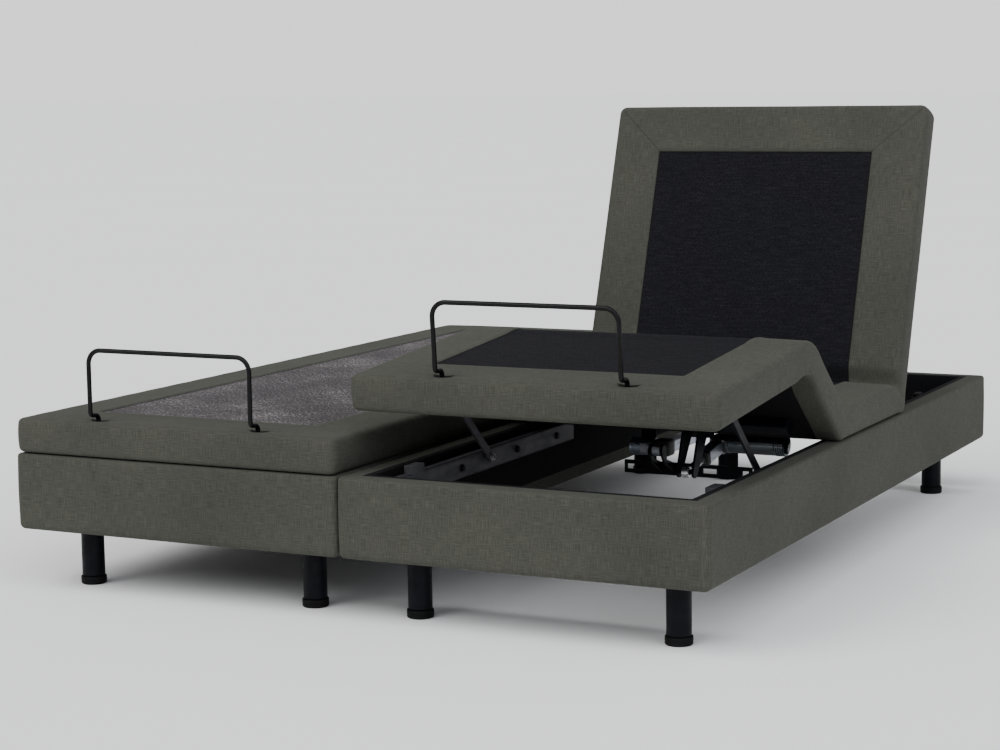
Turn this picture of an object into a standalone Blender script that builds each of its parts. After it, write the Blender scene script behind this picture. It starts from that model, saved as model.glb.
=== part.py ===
"""Split adjustable bed base: two upholstered 80 x 200 cm units side by side on round legs.

The left unit lies flat and the right unit has its back, thigh and calf sections raised.
Metres, +Z up, +Y towards the head end, +X towards the right-hand unit. The floor is Z = 0.
"""
import math

import bmesh
import bpy
from mathutils import Matrix, Vector

# ---- driving dimensions ----
GAP = 0.0003
HALF_WIDTH = 0.800
UNIT_SEAM = 0.0015
UNIT_CENTRE = 0.5 * (HALF_WIDTH + UNIT_SEAM)
UNIT_HALF = 0.5 * (HALF_WIDTH - UNIT_SEAM)
HALF_LENGTH = 1.000

BOX_BOTTOM = 0.1335
BOX_TOP = 0.3000
RAIL_THICK = 0.055
RAIL_EDGE = 0.010

LEG_RADIUS = 0.025
LEG_CAP_RADIUS = 0.028
LEG_CAP_HEIGHT = 0.018
LEG_FROM_OUTER = 0.108
LEG_FROM_SEAM = 0.123
LEG_FROM_END = 0.120

PAD_BOTTOM = 0.3020
PAD_TOP = 0.3750
PAD_HALF = 0.3890
PAD_EDGE = 0.012

THIGH_HINGE_Y = -0.200
KNEE_Y = -0.470
BACK_HINGE_Y = 0.270
HINGE_Z = 0.3020
BACK_RAISE = 71.0
THIGH_RAISE = 38.0
KNEE_BEND = 42.6

SIDE_RAIL_IN = 0.322
SIDE_RAIL_OUT = 0.342
SIDE_RAIL_BOTTOM = 0.238
SIDE_RAIL_TOP = 0.284
SEAT_TUBE_Y = 0.000

LINK_PIN_Y = -0.4819
LINK_PIN_Z = 0.268
LINK_LENGTH = 0.2384
LINK_FLAT = 177.11
LINK_TURN = -38.71
CALF_PIN_Y = KNEE_Y - 0.250
CALF_PIN_Z = 0.280

LEG_PIVOT = (-0.050, 0.268)
LEG_CRANK = 0.120
LEG_CRANK_ANGLE = -104.8
LEG_REACH_FLAT = 0.1998
LEG_REACH_RAISED = 0.2501
LEG_AIM_FLAT = -155.476
LEG_AIM_TURN = -15.524
LEG_U = 0.075

BACK_PIVOT = (-0.080, 0.235)
BACK_CRANK = 0.075
BACK_CRANK_ANGLE = -122.0
BACK_REACH_FLAT = 0.3094
BACK_REACH_RAISED = 0.3984
BACK_AIM_FLAT = -0.532
BACK_AIM_TURN = 0.841
BACK_U = -0.085

BAR_RADIUS = 0.005
BAR_HALF = 0.200
BAR_RISE = 0.157
BAR_Y = -0.966
BAR_FORWARD = 0.028
BAR_CORNER = 0.030


# ---- materials ----
def material(name, color, metallic, roughness):
    mat = bpy.data.materials.new(name)
    mat.use_nodes = True
    bsdf = mat.node_tree.nodes["Principled BSDF"]
    bsdf.inputs["Base Color"].default_value = (*color, 1.0)
    bsdf.inputs["Metallic"].default_value = metallic
    bsdf.inputs["Roughness"].default_value = roughness
    mat.diffuse_color = (*color, 1.0)
    return mat


def make_materials():
    return {
        "cover": ((0.066, 0.067, 0.056), 0.0, 0.90),
        "black": ((0.012, 0.012, 0.014), 0.6, 0.38),
        "steel": ((0.045, 0.045, 0.048), 0.7, 0.42),
        "grey": ((0.300, 0.305, 0.315), 0.6, 0.40),
        "bright": ((0.620, 0.625, 0.640), 1.0, 0.25),
    }


# ---- mesh helpers ----
def mesh_object(name, bm):
    bmesh.ops.remove_doubles(bm, verts=bm.verts, dist=0.00001)
    bmesh.ops.recalc_face_normals(bm, faces=bm.faces)
    mesh = bpy.data.meshes.new(name)
    bm.to_mesh(mesh)
    bm.free()
    obj = bpy.data.objects.new(name, mesh)
    bpy.context.collection.objects.link(obj)
    return obj


def box(x0, x1, y0, y1, z0, z1, edge=0.0, which=None):
    bm = bmesh.new()
    size = Vector((x1 - x0, y1 - y0, z1 - z0))
    centre = Vector((x0 + x1, y0 + y1, z0 + z1)) * 0.5
    turn = Matrix.Translation(centre) @ Matrix.Diagonal((*size, 1.0))
    bmesh.ops.create_cube(bm, size=1.0, matrix=turn)
    if edge > 0.0:
        chosen = [e for e in bm.edges if which is None or which(e)]
        steps = 2 if edge > 0.005 else 1
        bmesh.ops.bevel(bm, geom=chosen, offset=edge, segments=steps, profile=0.5, affect="EDGES")
    return mesh_object("block", bm)


def prism(points, x0, x1):
    """Closed outline in Y and Z, drawn out along X."""
    bm = bmesh.new()
    near = [bm.verts.new((x0, y, z)) for y, z in points]
    far = [bm.verts.new((x1, y, z)) for y, z in points]
    bm.faces.new(near)
    bm.faces.new(far)
    for i in range(len(points)):
        j = (i + 1) % len(points)
        bm.faces.new((near[i], near[j], far[j], far[i]))
    return mesh_object("outline", bm)


def rod(start, end, radius, sides=20):
    bm = bmesh.new()
    a = Vector(start)
    b = Vector(end)
    along = b - a
    turn = along.to_track_quat("Z", "Y").to_matrix().to_4x4()
    place = Matrix.Translation((a + b) * 0.5) @ turn
    bmesh.ops.create_cone(
        bm, cap_ends=True, segments=sides, radius1=radius, radius2=radius,
        depth=along.length, matrix=place,
    )
    return mesh_object("bar", bm)


def turned(profile, sides=24):
    """Closed solid of revolution about Z, from (radius, height) pairs running upwards."""
    bm = bmesh.new()
    rings = []
    for radius, height in profile:
        ring = []
        for i in range(sides):
            angle = 2.0 * math.pi * i / sides
            ring.append(bm.verts.new((radius * math.cos(angle), radius * math.sin(angle), height)))
        rings.append(ring)
    for low, high in zip(rings, rings[1:]):
        for i in range(sides):
            j = (i + 1) % sides
            bm.faces.new((low[i], low[j], high[j], high[i]))
    bm.faces.new(rings[0])
    bm.faces.new(rings[-1])
    return mesh_object("turned", bm)


def combine(parts, cuts=()):
    """One closed solid from overlapping parts, less the cuts."""
    base = parts[0]
    for other, operation in [(p, "UNION") for p in parts[1:]] + [(c, "DIFFERENCE") for c in cuts]:
        step = base.modifiers.new(operation, "BOOLEAN")
        step.operation = operation
        step.solver = "EXACT"
        step.object = other
    graph = bpy.context.evaluated_depsgraph_get()
    solid = bpy.data.meshes.new_from_object(base.evaluated_get(graph))
    base.modifiers.clear()
    base.data = solid
    for other in list(parts[1:]) + list(cuts):
        bpy.data.objects.remove(other)
    return base


def finish(obj, name, mat, side, pivot, smooth=False, spin=0.0, move=(0.0, 0.0)):
    """Mirrors a unit drawing onto its side, and sets its origin on its own joint axis."""
    mesh = obj.data
    mesh.transform(Matrix.Translation((0.0, -pivot[0], -pivot[1])))
    if side < 0:
        mesh.transform(Matrix.Diagonal((-1.0, 1.0, 1.0, 1.0)))
        mesh.flip_normals()
    obj.name = name
    mesh.name = name
    mesh.materials.clear()
    mesh.materials.append(mat)
    mesh.shade_flat()
    if smooth:
        mesh.set_sharp_from_angle(angle=math.radians(32))
        for poly in mesh.polygons:
            poly.use_smooth = True
    obj.location = (side * UNIT_CENTRE, pivot[0] + move[0], pivot[1] + move[1])
    obj.rotation_euler = (math.radians(spin), 0.0, 0.0)
    return obj


def turn_yz(point, about, degrees):
    c = math.cos(math.radians(degrees))
    s = math.sin(math.radians(degrees))
    y = point[0] - about[0]
    z = point[1] - about[1]
    return (about[0] + c * y - s * z, about[1] + s * y + c * z)


def reach_point(pivot, reach, degrees):
    angle = math.radians(degrees)
    return (pivot[0] + reach * math.cos(angle), pivot[1] + reach * math.sin(angle))


def ring_outline(centre, radius, count=20, start=0.0):
    points = []
    for i in range(count):
        angle = start + 2.0 * math.pi * i / count
        points.append((centre[0] + radius * math.cos(angle), centre[1] + radius * math.sin(angle)))
    return points


# ---- box frame and legs ----
def foot_or_head_rail(side, tag, end, mat):
    y0, y1 = sorted((end * HALF_LENGTH, end * (HALF_LENGTH - RAIL_THICK)))
    obj = box(-UNIT_HALF, UNIT_HALF, y0, y1, BOX_BOTTOM, BOX_TOP, RAIL_EDGE)
    name = "foot_rail" if end < 0 else "head_rail"
    return finish(obj, tag + name, mat, side, (0.0, 0.0))


def long_rail(side, tag, name, u_side, mat):
    x0, x1 = sorted((u_side * UNIT_HALF, u_side * (UNIT_HALF - RAIL_THICK)))
    y = HALF_LENGTH - RAIL_THICK - GAP

    def lengthwise(edge):
        a, b = (v.co for v in edge.verts)
        return abs(a.y - b.y) > 1.0

    obj = box(x0, x1, -y, y, BOX_BOTTOM, BOX_TOP, RAIL_EDGE, lengthwise)
    return finish(obj, tag + name, mat, side, (0.0, 0.0))


def leg_strap(side, tag, end, mat):
    """Flat steel strap across the box that the two legs of one end screw into."""
    half = UNIT_HALF - RAIL_THICK - GAP
    y = end * (HALF_LENGTH - LEG_FROM_END)
    obj = box(-half, half, y - 0.036, y + 0.036, BOX_BOTTOM + 0.001, BOX_BOTTOM + 0.006)
    name = "foot_leg_strap" if end < 0 else "head_leg_strap"
    return finish(obj, tag + name, mat, side, (0.0, 0.0))


def leg(side, tag, name, u, y, mat):
    top = BOX_BOTTOM + 0.001 - GAP
    cap = LEG_CAP_RADIUS
    obj = turned((
        (cap - 0.003, 0.0),
        (cap, 0.003),
        (cap, LEG_CAP_HEIGHT - 0.002),
        (cap - 0.002, LEG_CAP_HEIGHT),
        (LEG_RADIUS, LEG_CAP_HEIGHT),
        (LEG_RADIUS, top),
    ))
    obj = finish(obj, tag + name, mat, side, (0.0, 0.0), smooth=True)
    obj.location = (side * (UNIT_CENTRE + u), y, 0.0)
    return obj


# ---- fixed steel frame ----
def side_rail(side, tag, name, u_side, mat):
    x0, x1 = sorted((u_side * SIDE_RAIL_IN, u_side * SIDE_RAIL_OUT))
    y0 = -HALF_LENGTH + RAIL_THICK + 0.004
    beam = box(x0, x1, y0, SEAT_TUBE_Y - 0.0205, SIDE_RAIL_BOTTOM, SIDE_RAIL_TOP, 0.003)
    rest = box(x0, x1, -0.820, -0.768, SIDE_RAIL_TOP - 0.008, BOX_TOP - 0.001)
    pin = rod(
        (u_side * (SIDE_RAIL_IN + 0.004), LINK_PIN_Y, LINK_PIN_Z),
        (u_side * (SIDE_RAIL_IN - 0.020), LINK_PIN_Y, LINK_PIN_Z),
        0.005,
    )
    return finish(combine([beam, rest, pin]), tag + name, mat, side, (0.0, 0.0))


def seat_tube(side, tag, mat):
    beam = box(-0.340, 0.340, SEAT_TUBE_Y - 0.020, SEAT_TUBE_Y + 0.020, 0.274, 0.2997, 0.002)
    py, pz = LEG_PIVOT
    parts = [beam]
    for sign in (-1, 1):
        x0, x1 = sorted((LEG_U + sign * 0.013, LEG_U + sign * 0.018))
        ear = [
            (py - 0.014, pz), (py - 0.010, pz - 0.010), (py, pz - 0.014), (py + 0.010, pz - 0.012),
            (SEAT_TUBE_Y - 0.010, 0.272), (SEAT_TUBE_Y - 0.010, 0.297), (py - 0.010, pz + 0.012),
        ]
        parts.append(prism(ear, x0, x1))
    parts.append(rod((LEG_U - 0.0155, py, pz), (LEG_U + 0.0155, py, pz), 0.006, 16))
    return finish(combine(parts), tag + "seat_cross_tube", mat, side, (0.0, 0.0))


def motor_tray(side, tag, mat):
    """Slotted plate hung from the seat tube, with the ears of the back thrust unit."""
    y0 = SEAT_TUBE_Y - 0.012
    plate = box(-0.196, 0.122, y0, y0 + 0.005, 0.166, 0.196)
    parts = [plate]
    for u, half in ((-0.134, 0.018), (LEG_U, 0.0115)):
        parts.append(box(u - half, u + half, y0, y0 + 0.005, 0.190, 0.2737))
    py, pz = BACK_PIVOT
    for sign in (-1, 1):
        x0, x1 = sorted((BACK_U + sign * 0.013, BACK_U + sign * 0.018))
        ear = [
            (py - 0.014, pz), (py - 0.010, pz - 0.012), (py + 0.004, pz - 0.030), (y0 + 0.002, 0.172),
            (y0 + 0.002, 0.194), (py + 0.016, pz - 0.023), (py + 0.012, pz + 0.006),
            (py + 0.004, pz + 0.013), (py - 0.008, pz + 0.011),
        ]
        parts.append(prism(ear, x0, x1))
    parts.append(rod((BACK_U - 0.0155, py, pz), (BACK_U + 0.0155, py, pz), 0.006, 16))
    cuts = []
    for u, half in ((-0.170, 0.019), (-0.045, 0.009), (0.018, 0.017), (0.106, 0.008)):
        cuts.append(box(u - half, u + half, y0 - 0.01, y0 + 0.015, 0.175, 0.187))
    return finish(combine(parts, cuts), tag + "motor_tray", mat, side, (0.0, 0.0))


# ---- upholstered sections ----
def pad(side, tag, name, outline, mat, pivot, spin=0.0, move=(0.0, 0.0), cuts=()):
    obj = prism(outline, -PAD_HALF, PAD_HALF)
    bm = bmesh.new()
    bm.from_mesh(obj.data)
    chosen = []
    for edge in bm.edges:
        a, b = (v.co for v in edge.verts)
        if abs(abs(a.x) - PAD_HALF) < 1e-6 and abs(a.x - b.x) < 1e-6 and abs(a.z - b.z) < 1e-6:
            chosen.append(edge)
    bmesh.ops.bevel(bm, geom=chosen, offset=PAD_EDGE, segments=2, profile=0.5, affect="EDGES")
    bm.to_mesh(obj.data)
    bm.free()
    if cuts:
        combine([obj], cuts)
    return finish(obj, tag + name, mat, side, pivot, spin=spin, move=move)


def mitre(half_angle):
    return (PAD_TOP - HINGE_Z) * math.tan(math.radians(half_angle))


def seat_outline():
    front = THIGH_HINGE_Y + 0.001
    rear = BACK_HINGE_Y - 0.001
    low = BOX_TOP + GAP
    return [
        (front, low), (rear, low), (rear, HINGE_Z),
        (rear - mitre(0.5 * BACK_RAISE), PAD_TOP),
        (front + mitre(0.5 * THIGH_RAISE), PAD_TOP), (front, HINGE_Z),
    ]


def thigh_outline():
    rear = THIGH_HINGE_Y - 0.001
    return [
        (KNEE_Y + 0.001, PAD_BOTTOM), (rear, PAD_BOTTOM),
        (rear - mitre(0.5 * THIGH_RAISE), PAD_TOP), (KNEE_Y + 0.001, PAD_TOP),
    ]


def calf_outline():
    return [
        (-HALF_LENGTH + 0.002, PAD_BOTTOM), (KNEE_Y - 0.001, PAD_BOTTOM),
        (KNEE_Y - 0.001, PAD_TOP), (-HALF_LENGTH + 0.002, PAD_TOP),
    ]


def back_outline():
    front = BACK_HINGE_Y + 0.001
    return [
        (front, PAD_BOTTOM), (HALF_LENGTH - 0.002, PAD_BOTTOM),
        (HALF_LENGTH - 0.002, PAD_TOP), (front + mitre(0.5 * BACK_RAISE), PAD_TOP),
    ]


def bar_holes():
    holes = []
    for sign in (-1, 1):
        x = sign * BAR_HALF
        holes.append(rod((x, BAR_Y, PAD_BOTTOM + 0.020), (x, BAR_Y, PAD_TOP + 0.020), 0.0056, 16))
    return holes


def retainer_path():
    """Centre line of the bent bar, from one foot in the pad round to the other."""
    corner = BAR_CORNER
    top = PAD_TOP + BAR_RISE
    front = BAR_Y - BAR_FORWARD
    half = [
        (BAR_HALF, BAR_Y, PAD_BOTTOM + 0.021),
        (BAR_HALF, BAR_Y, PAD_TOP + 0.007),
        (BAR_HALF, BAR_Y - 0.006, PAD_TOP + 0.015),
        (BAR_HALF, front + 0.007, PAD_TOP + 0.018),
        (BAR_HALF, front, PAD_TOP + 0.027),
    ]
    for i in range(7):
        angle = math.radians(15.0 * i)
        x = BAR_HALF - corner + corner * math.cos(angle)
        z = top - corner + corner * math.sin(angle)
        half.append((x, front, z))
    other = [(-x, y, z) for x, y, z in reversed(half)]
    return half + other


def retainer_bar(side, tag, mat, spin, move):
    sides = 10
    points = [Vector(p) for p in retainer_path()]
    bm = bmesh.new()
    rings = []
    across = Vector((0.0, 1.0, 0.0))
    for i, point in enumerate(points):
        ahead = points[min(i + 1, len(points) - 1)] - point
        behind = point - points[max(i - 1, 0)]
        along = (ahead.normalized() + behind.normalized()).normalized()
        across = (across - along * across.dot(along)).normalized()
        up = along.cross(across)
        ring = []
        for k in range(sides):
            angle = 2.0 * math.pi * k / sides
            offset = across * math.cos(angle) + up * math.sin(angle)
            ring.append(bm.verts.new(point + offset * BAR_RADIUS))
        rings.append(ring)
    for low, high in zip(rings, rings[1:]):
        for k in range(sides):
            j = (k + 1) % sides
            bm.faces.new((low[k], low[j], high[j], high[k]))
    bm.faces.new(rings[0])
    bm.faces.new(rings[-1])
    obj = mesh_object("bar", bm)
    pivot = (KNEE_Y, HINGE_Z)
    return finish(obj, tag + "retainer_bar", mat, side, pivot, True, spin, move)


# ---- moving steel ----
def crank_plates(u, pin, root, half, radius):
    """Two plates from the section down to a cross pin between them."""
    parts = []
    ring = ring_outline(pin, radius, 16)
    low = [p for p in ring if p[1] < pin[1] + 0.002]
    low = sorted(low, key=lambda p: p[0])
    for sign in (-1, 1):
        x0, x1 = sorted((u + sign * half, u + sign * (half + 0.005)))
        parts.append(prism(low + [(root[1], HINGE_Z - 0.012), (root[0], HINGE_Z - 0.012)], x0, x1))
    wide = half + 0.003
    parts.append(rod((u - wide, *pin), (u + wide, *pin), 0.005, 16))
    return parts


def leg_lift(side, tag, mat, spin):
    pivot = (THIGH_HINGE_Y, HINGE_Z)
    pin = reach_point(pivot, LEG_CRANK, LEG_CRANK_ANGLE)
    top = PAD_BOTTOM - GAP
    beam = box(-0.300, 0.300, -0.290, -0.255, top - 0.025, top, 0.002)
    strap = box(LEG_U - 0.034, LEG_U + 0.034, -0.280, -0.215, top - 0.020, top - 0.001)
    plates = crank_plates(LEG_U, pin, (-0.275, -0.220), 0.0155, 0.013)
    obj = combine([beam, strap] + plates)
    return finish(obj, tag + "leg_lift_frame", mat, side, pivot, spin=spin)


def back_lift(side, tag, mat, spin):
    pivot = (BACK_HINGE_Y, HINGE_Z)
    pin = reach_point(pivot, BACK_CRANK, BACK_CRANK_ANGLE)
    top = PAD_BOTTOM - GAP
    parts = [box(-0.300, 0.300, 0.520, 0.550, top - 0.025, top, 0.002)]
    for u in (BACK_U - 0.0125, 0.060):
        parts.append(box(u, u + 0.025, 0.285, 0.760, top - 0.022, top - 0.001))
    parts += crank_plates(BACK_U, pin, (0.282, 0.345), 0.010, 0.014)
    obj = combine(parts)
    return finish(obj, tag + "back_lift_frame", mat, side, pivot, spin=spin)


def calf_frame(side, tag, mat, spin, move):
    top = PAD_BOTTOM - GAP
    y = CALF_PIN_Y
    beam = box(-0.298, 0.298, y - 0.013, y + 0.013, CALF_PIN_Z - 0.010, top, 0.002)
    parts = [beam]
    for sign in (-1, 1):
        parts.append(rod((sign * 0.292, y, CALF_PIN_Z), (sign * 0.3185, y, CALF_PIN_Z), 0.005, 16))
    pivot = (KNEE_Y, HINGE_Z)
    return finish(combine(parts), tag + "calf_cross_bar", mat, side, pivot, spin=spin, move=move)


def calf_link(side, tag, name, u_side, mat, spin):
    base = (LINK_PIN_Y, LINK_PIN_Z)
    tip = reach_point(base, LINK_LENGTH, LINK_FLAT)
    x0, x1 = sorted((u_side * 0.3085, u_side * 0.3145))
    parts = [prism(ring_outline(tip, 0.0130, 20), x0, x1)]
    parts.append(prism(ring_outline(base, 0.0130, 20), x0, x1))
    bar = [(base[0], base[1] - 0.009), (base[0], base[1] + 0.009), (tip[0], tip[1] + 0.009), (tip[0], tip[1] - 0.009)]
    parts.append(prism(bar, x0 + 0.0004, x1 - 0.0004))
    cuts = [prism(ring_outline(tip, 0.0076, 20), x0 - 0.01, x1 + 0.01)]
    cuts.append(prism(ring_outline(base, 0.0056, 20), x0 - 0.01, x1 + 0.01))
    return finish(combine(parts, cuts), tag + name, mat, side, base, spin=spin)


def thrust_body(u, pivot, tube_length, motor_u, motor_radius, offset=0.0):
    """Housing along +Y from its pivot: lug, gearbox, square tube and the motor beside it."""
    py, pz = pivot
    parts = [box(u - 0.0195, u + 0.0195, py + 0.026, py + 0.064, pz - 0.019, pz + 0.019, 0.004)]
    parts.append(box(u - 0.010, u + 0.010, py - 0.011, py + 0.030, pz - 0.011, pz + 0.011))
    parts.append(box(u - 0.0145, u + 0.0145, py + 0.050, py + tube_length, pz - 0.0145, pz + 0.0145, 0.002))
    motor_y = py + 0.043
    parts.append(rod((u, motor_y, pz + offset), (motor_u, motor_y, pz + offset), motor_radius, 24))
    cuts = [rod((u - 0.03, py, pz), (u + 0.03, py, pz), 0.0066, 16)]
    cuts.append(rod((u, py + 0.055, pz), (u, py + tube_length + 0.01, pz), 0.0100, 20))
    return combine(parts, cuts)


def thrust_rod(u, pivot, reach, inside, hole, rim):
    """Push rod along +Y that ends in an eye; its stem runs back into the square tube."""
    py, pz = pivot
    tip = (py + reach, pz)
    eye = prism(ring_outline(tip, rim, 24), u - 0.0075, u + 0.0075)
    stem = rod((u, py + inside, pz), (u, tip[0] - hole - 0.001, pz), 0.0092, 20)
    cut = prism(ring_outline(tip, hole, 24), u - 0.02, u + 0.02)
    return combine([stem, eye], [cut])


def leg_thrust(side, tag, mats, raised):
    aim = LEG_AIM_FLAT + (LEG_AIM_TURN if raised else 0.0)
    body = thrust_body(LEG_U, LEG_PIVOT, 0.158, LEG_U + 0.162, 0.0255, -0.006)
    finish(body, tag + "leg_drive_housing", mats["grey"], side, LEG_PIVOT, True, spin=aim)
    reach = LEG_REACH_RAISED if raised else LEG_REACH_FLAT
    stem = thrust_rod(LEG_U, LEG_PIVOT, reach, reach - 0.140, 0.0070, 0.0125)
    finish(stem, tag + "leg_drive_rod", mats["bright"], side, LEG_PIVOT, True, spin=aim)


def back_thrust(side, tag, mats, raised):
    aim = BACK_AIM_FLAT + (BACK_AIM_TURN if raised else 0.0)
    body = thrust_body(BACK_U, BACK_PIVOT, 0.250, BACK_U - 0.082, 0.0215)
    finish(body, tag + "back_drive_housing", mats["grey"], side, BACK_PIVOT, True, spin=aim)
    reach = BACK_REACH_RAISED if raised else BACK_REACH_FLAT
    stem = thrust_rod(BACK_U, BACK_PIVOT, reach, reach - 0.235, 0.0126, 0.0185)
    finish(stem, tag + "back_drive_rod", mats["bright"], side, BACK_PIVOT, True, spin=aim)


# ---- one 80 x 200 cm unit ----
def build_unit(side, tag, raised, mats):
    cover = mats["cover"]
    black = mats["black"]
    steel = mats["steel"]
    for end in (-1, 1):
        foot_or_head_rail(side, tag, end, cover)
        leg_strap(side, tag, end, black)
        y = end * (HALF_LENGTH - LEG_FROM_END)
        place = "foot" if end < 0 else "head"
        leg(side, tag, "leg_" + place + "_outer", UNIT_HALF - LEG_FROM_OUTER, y, black)
        leg(side, tag, "leg_" + place + "_inner", -UNIT_HALF + LEG_FROM_SEAM, y, black)
    long_rail(side, tag, "outer_rail", 1, cover)
    long_rail(side, tag, "inner_rail", -1, cover)
    side_rail(side, tag, "outer_steel_rail", 1, steel)
    side_rail(side, tag, "inner_steel_rail", -1, steel)
    seat_tube(side, tag, black)
    motor_tray(side, tag, black)

    thigh_spin = -THIGH_RAISE if raised else 0.0
    calf_spin = KNEE_BEND - THIGH_RAISE if raised else 0.0
    back_spin = BACK_RAISE if raised else 0.0
    link_spin = LINK_TURN if raised else 0.0
    thigh_hinge = (THIGH_HINGE_Y, HINGE_Z)
    knee = (KNEE_Y, HINGE_Z)
    back_hinge = (BACK_HINGE_Y, HINGE_Z)
    lifted = turn_yz(knee, thigh_hinge, thigh_spin)
    move = (lifted[0] - knee[0], lifted[1] - knee[1])

    pad(side, tag, "seat_section", seat_outline(), cover, (0.0, 0.0))
    pad(side, tag, "thigh_section", thigh_outline(), cover, thigh_hinge, thigh_spin)
    pad(side, tag, "calf_section", calf_outline(), cover, knee, calf_spin, move, bar_holes())
    pad(side, tag, "back_section", back_outline(), cover, back_hinge, back_spin)
    retainer_bar(side, tag, black, calf_spin, move)
    leg_lift(side, tag, black, thigh_spin)
    back_lift(side, tag, black, back_spin)
    calf_frame(side, tag, black, calf_spin, move)
    calf_link(side, tag, "calf_link_outer", 1, steel, link_spin)
    calf_link(side, tag, "calf_link_inner", -1, steel, link_spin)
    leg_thrust(side, tag, mats, raised)
    back_thrust(side, tag, mats, raised)


def main():
    for obj in list(bpy.data.objects):
        bpy.data.objects.remove(obj, do_unlink=True)
    mats = {name: material(name, *values) for name, values in make_materials().items()}
    build_unit(-1, "left_", False, mats)
    build_unit(1, "right_", True, mats)


main()
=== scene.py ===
import math
import bpy
import numpy as np
from functools import partial
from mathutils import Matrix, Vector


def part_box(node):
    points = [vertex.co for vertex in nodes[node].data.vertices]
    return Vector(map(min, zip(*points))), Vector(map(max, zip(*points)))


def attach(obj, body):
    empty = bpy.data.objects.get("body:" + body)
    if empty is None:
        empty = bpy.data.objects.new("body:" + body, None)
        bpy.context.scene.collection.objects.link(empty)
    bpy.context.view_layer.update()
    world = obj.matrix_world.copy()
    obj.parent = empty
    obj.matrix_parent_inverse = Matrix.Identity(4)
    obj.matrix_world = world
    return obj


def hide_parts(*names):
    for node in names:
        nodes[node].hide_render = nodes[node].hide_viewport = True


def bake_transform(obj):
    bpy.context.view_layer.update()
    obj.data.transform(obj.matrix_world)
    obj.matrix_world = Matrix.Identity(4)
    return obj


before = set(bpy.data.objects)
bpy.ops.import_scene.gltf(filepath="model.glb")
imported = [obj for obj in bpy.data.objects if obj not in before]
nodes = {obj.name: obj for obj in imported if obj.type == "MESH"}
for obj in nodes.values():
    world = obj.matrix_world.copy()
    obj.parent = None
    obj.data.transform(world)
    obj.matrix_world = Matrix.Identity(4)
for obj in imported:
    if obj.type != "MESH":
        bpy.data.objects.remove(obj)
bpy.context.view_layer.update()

from types import SimpleNamespace
from mathutils import Matrix, Vector

unit = {"centre": 0.40075, "half": 0.39925, "length": 1.0}
hinges = {"knee": (-0.470, 0.302), "thigh": (-0.200, 0.302), "back": (0.270, 0.302)}  # y and z, flat
raised = {"thigh": -38.0, "knee": 42.6, "back": 71.0}  # degrees about +X
sides = {"left": -1, "right": 1}


# small numpy helpers
def smooth(a, b, x):
    t = np.clip((x - a) / (b - a), 0.0, 1.0)  # smoothstep from a to b
    return t * t * (3.0 - 2.0 * t)


def turned(points, centre, degrees):
    # rotation about +X through (y, z) = centre; degrees may be one number or one for each point
    a = np.radians(degrees)
    y = points[:, 1] - centre[0]
    z = points[:, 2] - centre[1]
    out = points.copy()
    out[:, 1] = centre[0] + np.cos(a) * y - np.sin(a) * z
    out[:, 2] = centre[1] + np.sin(a) * y + np.cos(a) * z
    return out


def ripple(x, y, seed):
    # slow unevenness of hand-pulled cloth: four crossed sines, about -1 to 1
    s = seed * 1.7
    w = np.sin(9.1 * x + 3.3 * y + s) + np.sin(-5.2 * x + 11.7 * y + 2.1 * s)
    w += 0.6 * np.sin(21.0 * x - 8.0 * y + 0.7 * s) + 0.5 * np.sin(15.0 * x + 27.0 * y + 1.3 * s)
    return w / 3.1


def makeObject(name, points, faces, smoothShade=True):
    mesh = bpy.data.meshes.new(name)
    faces = np.asarray(faces, np.int32)
    mesh.vertices.add(len(points))
    mesh.vertices.foreach_set("co", np.asarray(points, np.float32).ravel())
    mesh.loops.add(faces.size)
    mesh.loops.foreach_set("vertex_index", faces.ravel())
    mesh.polygons.add(len(faces))
    mesh.polygons.foreach_set("loop_start", np.arange(0, faces.size, faces.shape[1], dtype=np.int32))
    mesh.update(calc_edges=True)
    mesh.validate()
    if smoothShade:
        mesh.polygons.foreach_set("use_smooth", np.ones(len(faces), bool))
    obj = bpy.data.objects.new(name, mesh)
    bpy.context.scene.collection.objects.link(obj)
    return obj


def setUv(obj, uv):
    layer = obj.data.uv_layers.new(name="cloth")
    layer.data.foreach_set("uv", np.asarray(uv, np.float32).ravel())


def pointsOf(obj):
    co = np.empty(len(obj.data.vertices) * 3, np.float32)
    obj.data.vertices.foreach_get("co", co)
    return co.reshape(-1, 3)


def sharpenPlane(obj, y):
    # hard edges round the closed end of a cover, so that neighbours shade as one surface
    mesh = obj.data
    ends = np.empty(len(mesh.edges) * 2, np.int32)
    mesh.edges.foreach_get("vertices", ends)
    on = np.abs(pointsOf(obj)[:, 1] - y) < 1e-5
    sharp = on[ends.reshape(-1, 2)].all(1)
    layer = mesh.attributes.get("sharp_edge") or mesh.attributes.new("sharp_edge", "BOOLEAN", "EDGE")
    was = np.empty(len(sharp), bool)
    layer.data.foreach_get("value", was)
    layer.data.foreach_set("value", was | sharp)


def movePoints(obj, points):
    obj.data.vertices.foreach_set("co", np.asarray(points, np.float32).ravel())
    obj.data.update()


def setMaterials(obj, materials, index=None):
    obj.data.materials.clear()
    for m in materials:
        obj.data.materials.append(m)
    if index is not None:
        obj.data.polygons.foreach_set("material_index", np.asarray(index, np.int32))


def finishPiece(obj, material, body):
    # one hard piece: its finish and the body that carries it
    setMaterials(obj, (material,))
    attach(obj, body)


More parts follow.
